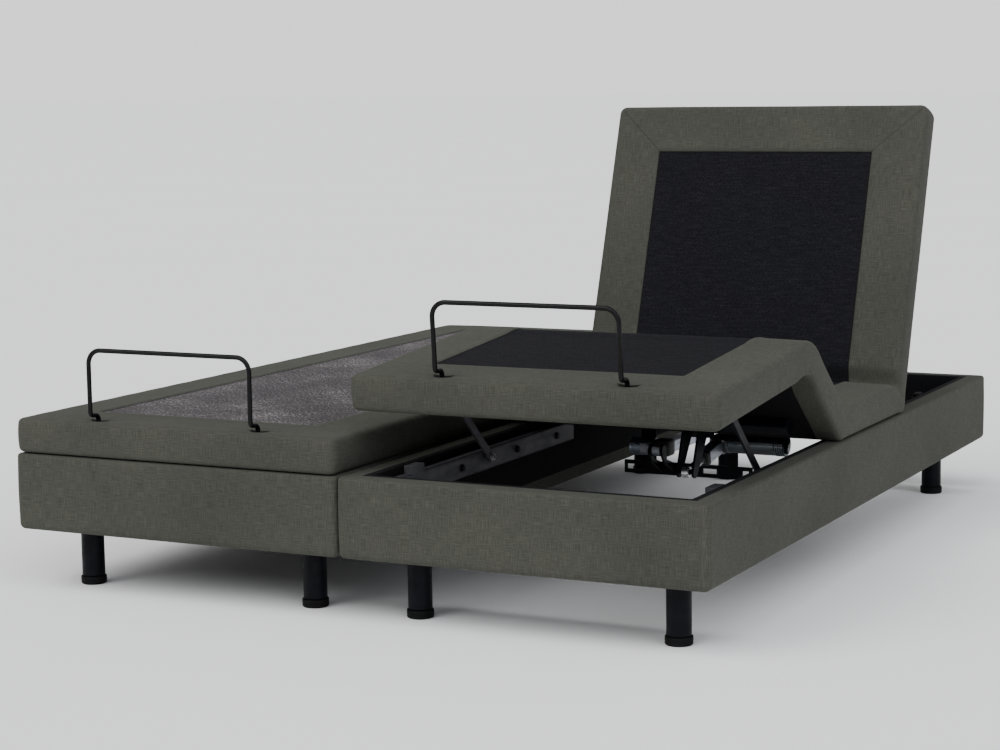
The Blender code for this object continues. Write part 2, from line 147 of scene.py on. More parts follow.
def latticeShell(xs, ys, zs):
    # the skin of a block of grid points: every (x, y, z) with at least one coordinate at its end
    nx, ny, nz = len(xs), len(ys), len(zs)
    i, j, k = np.meshgrid(np.arange(nx), np.arange(ny), np.arange(nz), indexing="ij")
    skin = (i == 0) | (i == nx - 1) | (j == 0) | (j == ny - 1) | (k == 0) | (k == nz - 1)
    ids = np.full((nx, ny, nz), -1)
    ids[skin] = np.arange(skin.sum())
    points = np.stack((xs[i[skin]], ys[j[skin]], zs[k[skin]]), 1)

    def quads(a, flip):
        q = np.stack((a[:-1, :-1], a[1:, :-1], a[1:, 1:], a[:-1, 1:]), -1).reshape(-1, 4)
        return q[:, ::-1] if flip else q

    parts = [
        quads(ids[:, :, -1], False), quads(ids[:, :, 0], True),
        quads(ids[-1, :, :], False), quads(ids[0, :, :], True),
        quads(ids[:, -1, :], True), quads(ids[:, 0, :], False),
    ]
    # which side each face is on: 0 top, 1 under, 2 right, 3 left, 4 head, 5 foot
    group = np.concatenate([np.full(len(p), g) for g, p in enumerate(parts)])
    return points, np.concatenate(parts), group


def spread(stops, step):
    # grid lines through every stop, no further apart than step
    out = [np.array([stops[0]])]
    for a, b in zip(stops[:-1], stops[1:]):
        n = max(1, int(math.ceil((b - a) / step - 1e-6)))
        out.append(np.linspace(a, b, n + 1)[1:])
    return np.concatenate(out)


def sweepTube(name, path, radius, around):
    # ring of radius r carried along a path: P(s) + r (A cos t + B sin t), with A and B kept across the path
    path = np.asarray(path, float)
    ahead = np.gradient(path, axis=0)
    ahead /= np.linalg.norm(ahead, axis=1, keepdims=True)
    a = np.zeros_like(path)
    ref = np.array([0.0, 1.0, 0.0]) if abs(ahead[0, 1]) < 0.8 else np.array([1.0, 0.0, 0.0])
    for n in range(len(path)):
        ref = ref - ahead[n] * ref.dot(ahead[n])
        ref /= np.linalg.norm(ref)
        a[n] = ref
    b = np.cross(ahead, a)
    t = np.linspace(0.0, 2.0 * math.pi, around, endpoint=False)[None, :, None]
    return stackRings(name, path[:, None] + radius * (a[:, None] * np.cos(t) + b[:, None] * np.sin(t)))


def stackRings(name, ring, hollow=False):
    # skin through rows of rings, closed at both ends with a point in the middle of the end rings;
    # a hollow one has its last ring joined to its first instead
    rows, around = ring.shape[:2]
    points = ring.reshape(-1, 3)
    ids = np.arange(rows * around).reshape(rows, around)
    if hollow:
        ids = np.vstack((ids, ids[:1]))
    beside = np.roll(ids, -1, 1)
    faces = np.stack((ids[:-1], beside[:-1], beside[1:], ids[1:]), -1).reshape(-1, 4).tolist()
    if not hollow:
        points = np.concatenate((points, ring[0].mean(0)[None], ring[-1].mean(0)[None]))
        first, last = np.full(around, rows * around), np.full(around, rows * around + 1)
        faces += np.stack((first, beside[0], ids[0]), 1).tolist()
        faces += np.stack((last, ids[-1], beside[-1]), 1).tolist()
    mesh = bpy.data.meshes.new(name)
    mesh.from_pydata(points.tolist(), [], faces)
    mesh.update()
    mesh.polygons.foreach_set("use_smooth", np.ones(len(mesh.polygons), bool))
    mesh.set_sharp_from_angle(angle=math.radians(38))
    obj = bpy.data.objects.new(name, mesh)
    bpy.context.scene.collection.objects.link(obj)
    return obj


def plateShell(name, low, high):
    # closed thin plate between two matching grids, low underneath and high on top
    rows, cols = low.shape[:2]
    ids = np.arange(rows * cols).reshape(rows, cols)
    top = ids + rows * cols
    loop = np.concatenate((ids[:-1, 0], ids[-1, :-1], ids[:0:-1, -1], ids[0, :0:-1]))
    beside = np.roll(loop, -1)
    quads = np.concatenate((
        np.stack((top[:-1, :-1], top[1:, :-1], top[1:, 1:], top[:-1, 1:]), -1).reshape(-1, 4),
        np.stack((ids[:-1, :-1], ids[:-1, 1:], ids[1:, 1:], ids[1:, :-1]), -1).reshape(-1, 4),
        np.stack((loop, beside, beside + rows * cols, loop + rows * cols), -1),
    ))
    return makeObject(name, np.concatenate((low.reshape(-1, 3), high.reshape(-1, 3))), quads, False)


def turnedPiece(name, profile, origin, axis, around):
    # profile of (radius, height) pairs turned about an axis: O + h Z + r (X cos t + Y sin t)
    profile = np.asarray(profile, float)
    z = Vector(axis).normalized()
    x = z.orthogonal().normalized()
    x, y, z = (np.array(v) for v in (x, z.cross(x), z))
    t = np.linspace(0.0, 2.0 * math.pi, around, endpoint=False)[None, :, None]
    ring = np.array(origin, float) + profile[:, 1, None, None] * z
    return stackRings(name, ring + profile[:, 0, None, None] * (np.cos(t) * x + np.sin(t) * y))


# node groups shared by the materials
def newGroup(name, vector, numbers, outs):
    # a vector and named numbers go in; numbers come out, and a vector where the output is a normal
    group = bpy.data.node_groups.new(name, "ShaderNodeTree")
    group.interface.new_socket(name=vector, in_out="INPUT", socket_type="NodeSocketVector")
    for label, value in numbers.items():
        socket = group.interface.new_socket(name=label, in_out="INPUT", socket_type="NodeSocketFloat")
        socket.default_value = value
    for label in outs:
        kind = "NodeSocketVector" if label == "Normal" else "NodeSocketFloat"
        group.interface.new_socket(name=label, in_out="OUTPUT", socket_type=kind)
    given = group.nodes.new("NodeGroupInput")
    result = group.nodes.new("NodeGroupOutput")
    given.location = (-900, 0)
    result.location = (700, 0)
    return group, given.outputs, result.inputs


def addNode(tree, kind, place=(0, 0), **values):
    node = tree.nodes.new(kind)
    node.location = place
    for key, value in values.items():
        if hasattr(node, key):
            setattr(node, key, value)
        else:
            node.inputs[key].default_value = value
    return node


def mathNode(tree, operation, *values):
    node = addNode(tree, "ShaderNodeMath", operation=operation)
    for n, value in enumerate(values):
        if isinstance(value, (int, float)):
            node.inputs[n].default_value = value
        else:
            tree.links.new(value, node.inputs[n])
    return node.outputs[0]


def sums(tree):
    # the tree's Math nodes under short names: m.add(a, b) is a + b, m.take(a, b) is a - b
    kinds = {
        "add": "ADD", "take": "SUBTRACT", "times": "MULTIPLY", "over": "DIVIDE", "size": "ABSOLUTE",
        "larger": "MAXIMUM", "power": "POWER", "sine": "SINE", "above": "GREATER_THAN", "below": "LESS_THAN",
    }
    return SimpleNamespace(**{key: partial(mathNode, tree, kind) for key, kind in kinds.items()})


def scaled(tree, vector, scale):
    node = addNode(tree, "ShaderNodeVectorMath", operation="MULTIPLY")
    node.inputs[1].default_value = scale
    tree.links.new(vector, node.inputs[0])
    return node.outputs[0]


def noise(tree, vector, scale, detail, rough, place):
    node = addNode(tree, "ShaderNodeTexNoise", place, Scale=scale, Detail=detail, Roughness=rough)
    tree.links.new(vector, node.inputs["Vector"])
    return node.outputs["Fac"]


def splitCloth(tree, vector, place):
    node = addNode(tree, "ShaderNodeSeparateXYZ", place)
    tree.links.new(vector, node.inputs[0])
    return node.outputs[0], node.outputs[1]


def makeLinenGroup():
    # plain weave in metres: thread height, slubs along both threads and slow shade drift
    numbers = {"Threads": 900.0, "Slub": 1.0}
    group, given, result = newGroup("linenWeave", "Cloth", numbers, ("Tone", "Height", "Drift"))
    m, link, cloth = sums(group), group.links.new, given["Cloth"]
    x, y = splitCloth(group, cloth, (-700, 200))
    wobble = m.times(noise(group, cloth, 55.0, 1.0, 0.5, (-700, -100)), 1.6)
    warp = m.sine(m.times(m.add(m.times(x, given["Threads"]), wobble), math.pi))
    weft = m.sine(m.times(m.add(m.times(y, given["Threads"]), wobble), math.pi))
    weave = m.add(m.times(m.times(warp, weft), 0.5), m.times(m.add(m.size(warp), m.size(weft)), 0.35))
    across = noise(group, scaled(group, cloth, (34.0, 760.0, 1.0)), 1.0, 3.0, 0.6, (-400, -300))
    along = noise(group, scaled(group, cloth, (760.0, 34.0, 1.0)), 1.0, 3.0, 0.6, (-400, -500))
    slub = m.times(m.take(m.add(across, along), 1.0), given["Slub"])
    grain = m.take(noise(group, cloth, 420.0, 2.0, 0.7, (-400, -700)), 0.5)
    tone = m.add(m.add(m.times(slub, 1.05), m.times(grain, 0.34)), m.times(weave, 0.06))
    link(m.add(tone, 0.5), result["Tone"])
    link(m.add(m.times(weave, 0.5), m.times(slub, 0.9)), result["Height"])
    link(noise(group, cloth, 3.1, 3.0, 0.55, (-400, -900)), result["Drift"])
    return group


def makeSpeckleGroup():
    # knobbly non-slip cloth: small raised dots, painted glints, and a patchy nap whose bright patches are painted
    # sheen
    numbers = {"Dots": 330.0, "Patch": 9.0, "Glitter": 0.0}
    group, given, result = newGroup("nonSlipCloth", "Cloth", numbers, ("Speckle", "NapSheen", "Height"))
    m, link, cloth = sums(group), group.links.new, given["Cloth"]
    cell = addNode(group, "ShaderNodeTexVoronoi", (-500, 200), feature="F1")
    link(cloth, cell.inputs["Vector"])
    link(given["Dots"], cell.inputs["Scale"])
    fine = noise(group, cloth, 430.0, 2.0, 0.8, (-500, -100))
    threads = noise(group, scaled(group, cloth, (22.0, 260.0, 1.0)), 1.0, 3.0, 0.65, (-500, -300))
    speck = m.add(m.times(fine, 0.7), m.times(threads, 0.5))
    speck = m.take(speck, m.times(cell.outputs["Distance"], 0.25))
    # painted glints: fine bright flecks added to the speckle
    spark = noise(group, scaled(group, cloth, (1.0, 0.35, 1.0)), 310.0, 1.0, 0.6, (-500, -900))
    link(m.add(speck, m.times(m.take(spark, 0.5), given["Glitter"])), result["Speckle"])
    patch = addNode(group, "ShaderNodeTexNoise", (-500, -500), Detail=4.0, Roughness=0.6)
    link(cloth, patch.inputs["Vector"])
    link(given["Patch"], patch.inputs["Scale"])
    link(patch.outputs["Fac"], result["NapSheen"])
    link(m.add(m.times(fine, 0.8), m.times(threads, 0.4)), result["Height"])
    return group


def makeWearGroup():
    # rubbed edges: where the rounded normal leaves the flat one, broken up by noise
    numbers = {"Radius": 0.0015, "Amount": 0.6}
    group, given, result = newGroup("edgeWear", "Place", numbers, ("Wear", "Scuff", "Normal"))
    m, link, place = sums(group), group.links.new, given["Place"]
    bevel = addNode(group, "ShaderNodeBevel", (-600, 200), samples=4)
    link(given["Radius"], bevel.inputs["Radius"])
    face = addNode(group, "ShaderNodeNewGeometry", (-600, 0))
    dot = addNode(group, "ShaderNodeVectorMath", (-400, 100), operation="DOT_PRODUCT")
    link(bevel.outputs["Normal"], dot.inputs[0])
    link(face.outputs["Normal"], dot.inputs[1])
    edge = m.times(m.take(1.0, dot.outputs["Value"]), 6.0)
    broken = m.power(noise(group, place, 90.0, 4.0, 0.7, (-400, -200)), 1.5)
    clamp = addNode(group, "ShaderNodeClamp", (300, 100))
    link(m.times(m.times(edge, broken), given["Amount"]), clamp.inputs[0])
    link(clamp.outputs[0], result["Wear"])
    streaks = scaled(group, place, (1.0, 0.35, 1.0))
    link(noise(group, streaks, 38.0, 5.0, 0.65, (-400, -400)), result["Scuff"])
    link(bevel.outputs["Normal"], result["Normal"])
    return group


def makeOutlineGroup():
    # outline of the woven insert, used for its sewn seam and for painted shade along its sunk edge: 1 on the
    # rectangle |x| = Half, y = Foot or Head, 0 beyond Width
    numbers = {"Half": 0.272, "Foot": -0.862, "Head": 0.880, "Width": 0.003}
    group, given, result = newGroup("insertOutline", "Cloth", numbers, ("Seam",))
    m = sums(group)
    x, y = splitCloth(group, given["Cloth"], (-700, 0))
    side = m.take(m.size(x), given["Half"])
    away = m.size(m.larger(side, m.larger(m.take(given["Foot"], y), m.take(y, given["Head"]))))
    seam = m.larger(m.take(1.0, m.over(away, given["Width"])), 0.0)
    group.links.new(seam, result["Seam"])
    return group


linenGroup = makeLinenGroup()
speckleGroup = makeSpeckleGroup()
wearGroup = makeWearGroup()
outlineGroup = makeOutlineGroup()


def newMaterial(name):
    mat = bpy.data.materials.new(name)
    mat.use_nodes = True
    tree = mat.node_tree
    return mat, tree, tree.nodes["Principled BSDF"]


def mixColor(tree, fac, a, b, blend="MIX"):
    node = addNode(tree, "ShaderNodeMix", data_type="RGBA", blend_type=blend)
    for n, value in ((0, fac), (6, a), (7, b)):  # sockets 6 and 7 are the two colours
        if isinstance(value, tuple):
            node.inputs[n].default_value = (*value, 1.0)
        elif isinstance(value, float):
            node.inputs[n].default_value = value
        else:
            tree.links.new(value, node.inputs[n])
    return node.outputs[2]


def ramp(tree, fac, stops, place=(0, 0)):
    node = addNode(tree, "ShaderNodeValToRGB", place)
    ends = node.color_ramp.elements
    for end, (at, color) in ((ends[0], stops[0]), (ends[1], stops[-1])):
        end.position = at
        end.color = (*color, 1.0)
    for at, color in stops[1:-1]:
        ends.new(at).color = (*color, 1.0)
    tree.links.new(fac, node.inputs[0])
    return node.outputs[0]


def useGroup(tree, group, place, vector, **values):
    node = addNode(tree, "ShaderNodeGroup", place, node_tree=group)
    for key, value in values.items():
        node.inputs[key].default_value = value
    tree.links.new(vector, node.inputs[0])
    return node.outputs


def addBump(tree, bsdf, height, strength, distance=1.0, normal=None):
    bump = addNode(tree, "ShaderNodeBump", (-200, -300), Strength=strength, Distance=distance)
    tree.links.new(height, bump.inputs["Height"])
    if normal is not None:
        tree.links.new(normal, bump.inputs["Normal"])
    tree.links.new(bump.outputs[0], bsdf.inputs["Normal"])


def setShader(bsdf, values):
    # what is the same all over goes straight on the shader
    for key, value in values.items():
        bsdf.inputs[key].default_value = value


def shade(color, factor):
    return tuple(min(1.0, factor * c) for c in color)


def grey(value):
    return (value,) * 3


linen = {
    "dark": (0.0300, 0.0306, 0.0250), "mid": (0.0465, 0.0472, 0.0388), "pale": (0.0690, 0.0695, 0.0590),
    # outline is the insert's sewn seam deepened by painted shade along its edge; slot is painted shade inside the
    # bar's slots
    "threads": 760.0, "seam": (0.020, 0.021, 0.018), "outline": (0.0085, 0.0085, 0.0080), "slot": grey(0.0035),
    "shader": {
        "Specular IOR Level": 0.12, "Sheen Weight": 0.05, "Sheen Roughness": 0.5,
        "Sheen Tint": (0.75, 0.76, 0.70, 1.0),
    },
}


def seamMask(tree, cloth, lines, width):
    # 1 on each straight seam a -> b of the cloth, 0 beyond its width
    m = sums(tree)
    x, y = splitCloth(tree, cloth, (-1200, 500))
    total = None
    for (ax, ay), (bx, by) in lines:
        length = math.hypot(bx - ax, by - ay)
        dx, dy = (bx - ax) / length, (by - ay) / length
        px, py = m.take(x, ax), m.take(y, ay)
        off = m.size(m.take(m.times(px, dy), m.times(py, dx)))
        run = m.add(m.times(px, dx), m.times(py, dy))
        near = m.larger(m.take(1.0, m.over(off, width)), 0.0)
        seam = m.times(near, m.times(m.above(run, 0.0), m.below(run, length)))
        total = seam if total is None else m.larger(total, seam)
    return total


def slotMask(tree, cloth, atX, atY, halfWidth, halfHeight):
    # 1 inside the two button-like slots at (+-atX, atY): 1 - (dx / w)^2 - (dy / h)^2, sharpened
    m = sums(tree)
    x, y = splitCloth(tree, cloth, (-1200, 700))
    dx = m.take(m.size(x), atX)
    dy = m.add(m.take(y, atY), m.times(m.times(dx, dx), -16.0))  # the slot's ends droop a little
    ex = m.power(m.size(m.over(dx, halfWidth)), 2.0)
    ey = m.power(m.size(m.over(dy, halfHeight)), 2.0)
    node = addNode(tree, "ShaderNodeClamp", (0, 700))
    tree.links.new(m.times(m.take(1.0, m.add(ex, ey)), 2.2), node.inputs[0])
    return node.outputs[0]


def outlineSeamAndShade(tree, cloth, width):
    half, foot, head = pad["insertHalf"], pad["insertFoot"], pad["insertHead"]
    return useGroup(tree, outlineGroup, (-900, 300), cloth, Half=half, Foot=foot, Head=head, Width=width)["Seam"]


def makeLinen(name, seams=(), slot=None):
    mat, tree, bsdf = newMaterial(name)
    m, link = sums(tree), tree.links.new
    cloth = addNode(tree, "ShaderNodeUVMap", (-1400, 0), uv_map="cloth").outputs[0]
    weave = useGroup(tree, linenGroup, (-900, 0), cloth, Threads=linen["threads"], Slub=1.0)
    tones = [(0.18, linen["dark"]), (0.5, linen["mid"]), (0.86, linen["pale"])]
    color = ramp(tree, weave["Tone"], tones, (-600, 100))
    drift = ramp(tree, weave["Drift"], [(0.3, grey(0.86)), (0.7, (1.08, 1.08, 1.06))], (-600, -200))
    base = mixColor(tree, 1.0, color, drift, "MULTIPLY")
    height = m.times(weave["Height"], 0.00022)
    if seams:
        mask = seamMask(tree, cloth, seams, 0.0030)
        base = mixColor(tree, m.times(mask, 0.30), base, linen["seam"])
        height = m.take(height, m.times(mask, 0.0012))
        # the dark line round the insert: its sewn seam, with painted shade where the cloth dips into the recess
        base = mixColor(tree, m.times(outlineSeamAndShade(tree, cloth, 0.0032), 0.75), base, linen["outline"])
    # painted shade inside the slots where the bar's feet go into the cloth; the height dips there too
    if slot:
        mask = slotMask(tree, cloth, *slot)
        base = mixColor(tree, mask, base, linen["slot"])
        height = m.take(height, m.times(mask, 0.0030))
    link(base, bsdf.inputs["Base Color"])
    addBump(tree, bsdf, height, 0.75)
    link(ramp(tree, weave["Tone"], [(0.2, grey(0.97)), (0.8, grey(0.84))], (-600, -450)), bsdf.inputs["Roughness"])
    setShader(bsdf, linen["shader"])
    return mat


def makeInsert(name, dark, mid, pale, sheen, speckle, glitter, patch):
    # speckle is how hard the dots' edges are, patch how far the nap's tone and its painted sheen wander, glitter how
    # strong the painted glints are
    mat, tree, bsdf = newMaterial(name)
    m, link = sums(tree), tree.links.new
    cloth = addNode(tree, "ShaderNodeUVMap", (-1200, 0), uv_map="cloth").outputs[0]
    spots = useGroup(tree, speckleGroup, (-900, 0), cloth, Dots=330.0, Patch=5.0, Glitter=glitter)
    tones = [(0.5 - speckle, dark), (0.53, mid), (0.53 + speckle, pale)]
    base = ramp(tree, spots["Speckle"], tones, (-600, 100))
    # patches of nap tone, the bright ones painted sheen
    napSheen = [(0.36, grey(1.0 - 0.35 * patch)), (0.52, grey(1.0 - 0.05 * patch)), (0.66, grey(1.0 + 0.7 * patch))]
    base = mixColor(tree, 1.0, base, ramp(tree, spots["NapSheen"], napSheen, (-600, -200)), "MULTIPLY")
    # painted shade along the insert's sunk edge, darkest at its outline
    edge = m.times(outlineSeamAndShade(tree, cloth, 0.0045), 0.8)
    link(mixColor(tree, edge, base, (0.0050, 0.0046, 0.0048)), bsdf.inputs["Base Color"])
    addBump(tree, bsdf, m.times(spots["Height"], 0.00035), 0.6)
    link(ramp(tree, spots["Speckle"], [(0.4, grey(0.9)), (0.7, grey(0.68))], (-600, -450)), bsdf.inputs["Roughness"])
    setShader(bsdf, {
        "Specular IOR Level": 0.12, "Sheen Weight": sheen, "Sheen Roughness": 0.42,
        "Sheen Tint": (0.92, 0.90, 0.92, 1.0),
    })
    return mat


def makeLining(name, color):
    mat, tree, bsdf = newMaterial(name)
    place = addNode(tree, "ShaderNodeTexCoord", (-1000, 0)).outputs["Object"]
    fibre = noise(tree, place, 240.0, 4.0, 0.7, (-700, 0))
    tones = [(0.3, shade(color, 0.55)), (0.7, shade(color, 1.5))]
    tree.links.new(ramp(tree, fibre, tones), bsdf.inputs["Base Color"])
    addBump(tree, bsdf, fibre, 0.4, 0.0004)
    setShader(bsdf, {"Roughness": 0.95, "Specular IOR Level": 0.15})
    return mat


def makePainted(name, color, bare, rough, metallic=0.0, wear=0.5, radius=0.0015, gloss=0.5):
    # paint or plastic that scuffs, with the bare colour showing at rubbed edges
    mat, tree, bsdf = newMaterial(name)
    place = addNode(tree, "ShaderNodeTexCoord", (-1200, 0)).outputs["Object"]
    edge = useGroup(tree, wearGroup, (-900, 0), place, Radius=radius, Amount=wear)
    tones = [(0.3, shade(color, 0.72)), (0.5, color), (0.75, shade(color, 1.45))]
    tone = ramp(tree, edge["Scuff"], tones, (-600, 200))
    tree.links.new(mixColor(tree, edge["Wear"], tone, bare), bsdf.inputs["Base Color"])
    shine = ramp(tree, edge["Scuff"], [(0.3, grey(rough * 1.25)), (0.7, grey(rough * 0.85))], (-600, -100))
    tree.links.new(shine, bsdf.inputs["Roughness"])
    peel = mathNode(tree, "MULTIPLY", noise(tree, place, 700.0, 2.0, 0.5, (-700, -400)), 0.00006)
    addBump(tree, bsdf, peel, 0.35, normal=edge["Normal"])
    setShader(bsdf, {"Metallic": metallic, "Specular IOR Level": gloss})
    return mat


def makeBrushed(name, color, rough, grain):
    # bare metal with fine lines; grain is how tight they lie along x, y and z
    mat, tree, bsdf = newMaterial(name)
    place = addNode(tree, "ShaderNodeTexCoord", (-1200, 0)).outputs["Object"]
    lines = noise(tree, scaled(tree, place, grain), 1.0, 4.0, 0.6, (-800, 0))
    tones = [(0.3, shade(color, 0.78)), (0.7, shade(color, 1.12))]
    tree.links.new(ramp(tree, lines, tones), bsdf.inputs["Base Color"])
    shine = [(0.3, grey(rough * 1.3)), (0.7, grey(rough * 0.8))]
    tree.links.new(ramp(tree, lines, shine), bsdf.inputs["Roughness"])
    setShader(bsdf, {"Metallic": 0.92})
    return mat


# deck cover: pad, woven insert and lining
pad = {
    "half": 0.3955, "foot": -0.9985, "head": 0.9985, "bottom": 0.3026, "top": 0.3765,
    "edge": 0.0105, "corner": 0.017, "crown": 0.0025, "bulge": 0.0030, "recess": 0.0022,
    "roll": 0.0016, "ripple": 0.0007, "wrinkle": 0.0002, "pucker": 0.0055, "dish": 0.0022, "pull": 0.0013,
    "insertHalf": 0.272, "insertFoot": -0.862, "insertHead": 0.880, "underRim": 0.055,
    "barX": 0.200, "barY": -0.966, "slot": (0.0270, 0.0090), "mitreInset": 0.004,
    "cuts": (-0.335, 0.020), "frames": 16, "reach": 0.0035, "seed": 1,
    "zone": {
        "left": {"knee": 0.130, "thigh": 0.120, "back": 0.190},
        "right": {"knee": 0.160, "thigh": 0.060, "back": 0.060},
    },
}

mitreEnd = (pad["half"] - pad["mitreInset"], pad["head"] - pad["mitreInset"])
mitres = [((way * pad["insertHalf"], pad["insertHead"]), (way * mitreEnd[0], mitreEnd[1])) for way in (-1, 1)]

coverLinen = makeLinen("coverLinen")
deckLinen = makeLinen("deckLinen", mitres, (pad["barX"], pad["barY"] + 0.001, *pad["slot"]))
# the left unit's insert: painted paler than the right's for the sheen its cloth shows at a grazing view, with painted
# glints and sheen patches
sheenPaleInsert = makeInsert(
    "sheenPaleInsert", dark=(0.016, 0.0135, 0.0145), mid=(0.046, 0.0405, 0.0415), pale=(0.180, 0.162, 0.166),
    sheen=0.10, speckle=0.13, glitter=1.2, patch=1.10)
nightInsert = makeInsert(
    "nightInsert", dark=(0.0029, 0.0029, 0.0043), mid=(0.0057, 0.0055, 0.0080), pale=(0.0130, 0.0126, 0.0168),
    sheen=0.01, speckle=0.18, glitter=0.25, patch=0.15)
blackLining = makeLining("blackLining", (0.0055, 0.0055, 0.0065))
blackPaint = makePainted("blackPaint", (0.0034, 0.0038, 0.0060), (0.05, 0.05, 0.055), 0.40, gloss=0.09)
barPaint = makePainted(
    "barPaint", (0.0030, 0.0030, 0.0034), (0.03, 0.03, 0.033), 0.30, wear=0.25, radius=0.0006, gloss=0.14)
railPaint = makePainted("railPaint", (0.046, 0.045, 0.052), (0.12, 0.12, 0.13), 0.46, gloss=0.3)
housingGrey = makePainted("housingGrey", (0.27, 0.29, 0.32), (0.50, 0.52, 0.54), 0.30, metallic=0.35, wear=0.4)
rodSteel = makeBrushed("rodSteel", (0.60, 0.61, 0.63), 0.24, (300.0, 12.0, 300.0))
motorSteel = makeBrushed("motorSteel", (0.36, 0.41, 0.47), 0.28, (14.0, 260.0, 260.0))
motorDark = makeBrushed("motorDark", (0.13, 0.145, 0.155), 0.20, (14.0, 260.0, 260.0))
tubeAlloy = makeBrushed("tubeAlloy", (0.55, 0.59, 0.65), 0.34, (200.0, 16.0, 200.0))
blackPlastic = makePainted("blackPlastic", (0.012, 0.012, 0.013), grey(0.05), 0.46, wear=0.3)
paleLabel = makePainted("paleLabel", (0.42, 0.44, 0.47), grey(0.5), 0.42, wear=0.0)
rubber = makePainted("rubber", (0.0040, 0.0040, 0.0044), grey(0.02), 0.6, wear=0.2, gloss=0.1)
boltZinc = makeBrushed("boltZinc", (0.48, 0.48, 0.50), 0.34, (120.0, 120.0, 120.0))


def padShape(p, footEnd, headEnd):
    # block pulled onto a rounded plate: C + e N, where C is the nearest point of a core rectangle with rounded
    # corners, N points from C to the block's point, and e is the edge radius
    e, c = pad["edge"], pad["corner"]
    x, y, z = p.T
    loY = pad["foot"] + c if footEnd else -np.inf  # a cut end isn't rounded
    hiY = pad["head"] - c if headEnd else np.inf
    kx = np.clip(x, -(pad["half"] - c), pad["half"] - c)
    ky = np.clip(y, loY, hiY)
    dx, dy = x - kx, y - ky
    d = np.hypot(dx, dy)
    cap = np.minimum(d, c - e) / np.maximum(d, 1e-9)
    core = np.stack((kx + dx * cap, ky + dy * cap, np.clip(z, pad["bottom"] + e, pad["top"] - e)), 1)
    out = p - core
    size = np.linalg.norm(out, axis=1, keepdims=True)
    normal = out / np.maximum(size, 1e-9)
    return core + e * normal, normal


def insertDistance(x, y):
    # signed distance to the woven insert: below 0 on it, above 0 on the border
    ax = np.abs(x) - pad["insertHalf"]
    ay = np.maximum(pad["insertFoot"] - y, y - pad["insertHead"])
    outside = np.hypot(np.maximum(ax, 0), np.maximum(ay, 0))
    return outside + np.minimum(np.maximum(ax, ay), 0)


def padRelief(p, normal):
    # how far the cloth stands off the plate, along its normal: crown on top, bulge at the sides, the insert
    # sunk, a roll beside its seam, slow ripples, and dents where the bar's feet go in
    x, y, z = p.T
    up = smooth(0.2, 0.9, normal[:, 2])
    out = smooth(0.3, 1.0, np.hypot(normal[:, 0], normal[:, 1]))
    d = insertDistance(x, y)
    across = 1.0 - (np.abs(x) / pad["half"]) ** 4
    lift = up * pad["crown"] * across
    lift -= up * pad["recess"] * (1.0 - smooth(-0.0015, 0.0045, d))
    lift += up * pad["roll"] * np.exp(-((d - 0.012) / 0.010) ** 2)
    mid = (z - 0.5 * (pad["bottom"] + pad["top"])) / (0.5 * (pad["top"] - pad["bottom"]))
    lift += out * pad["bulge"] * (1.0 - mid ** 2)
    lift += (0.35 * up + 0.8 * out) * pad["ripple"] * ripple(x * 1.3, y * 0.6, pad["seed"])
    rim = smooth(0.02, 0.10, d)
    crosswise = np.sin(61.0 * y + 2.0 * np.sin(23.0 * x))
    lift += up * rim * pad["wrinkle"] * crosswise * smooth(0.30, 0.37, np.abs(x))
    sx, sy = np.abs(x) - pad["barX"], y - pad["barY"]
    pucker = np.exp(-(sx / 0.020) ** 2 - (sy / 0.0055) ** 2)
    dish = np.exp(-(sx / 0.030) ** 2 - (sy / 0.020) ** 2)
    pull = np.exp(-(sx / 0.075) ** 2 - (sy / 0.010) ** 2) * np.cos(sx * 60.0) ** 2
    lift -= up * (pad["pucker"] * pucker + pad["dish"] * dish + pad["pull"] * pull)
    return lift


def padGrid(footY, headY, footEnd, headEnd, step):
    # grid lines of the block, close together at its rims, seams and bar feet
    rim = [0.0, 0.003, 0.007, pad["edge"], 0.022, 0.034, pad["underRim"], 0.075]
    seam = (-0.004, -0.0015, 0.001, 0.0045, 0.012)
    stopsX = [pad["half"] - r for r in rim] + [pad["insertHalf"] + s for s in seam]
    stopsY = [footY, headY]
    if footEnd:
        stopsX += [pad["barX"] + s for s in (-0.024, -0.016, -0.008, 0.0, 0.008, 0.016, 0.024)]
        stopsY += [footY + r for r in rim[1:]] + [pad["insertFoot"] - s for s in seam]
        stopsY += [pad["barY"] + s for s in (-0.012, -0.007, -0.003, 0.0, 0.003, 0.007, 0.012)]
    if headEnd:
        stopsY += [headY - r for r in rim[1:]] + [pad["insertHead"] + s for s in seam]
    stopsX = sorted(set(round(v, 6) for v in stopsX))
    stopsX = sorted([-v for v in stopsX] + [0.0] + stopsX)
    stopsY = sorted(set(round(v, 6) for v in stopsY))
    stopsY = [v for n, v in enumerate(stopsY) if n == 0 or v - stopsY[n - 1] > 0.0008 or v == stopsY[-1]]
    b, t = pad["bottom"], pad["top"]
    zs = spread([b, b + 0.003, b + 0.007, b + pad["edge"], t - pad["edge"], t - 0.007, t - 0.003, t], 0.0085)
    return spread(stopsX, step), spread(stopsY, step), zs


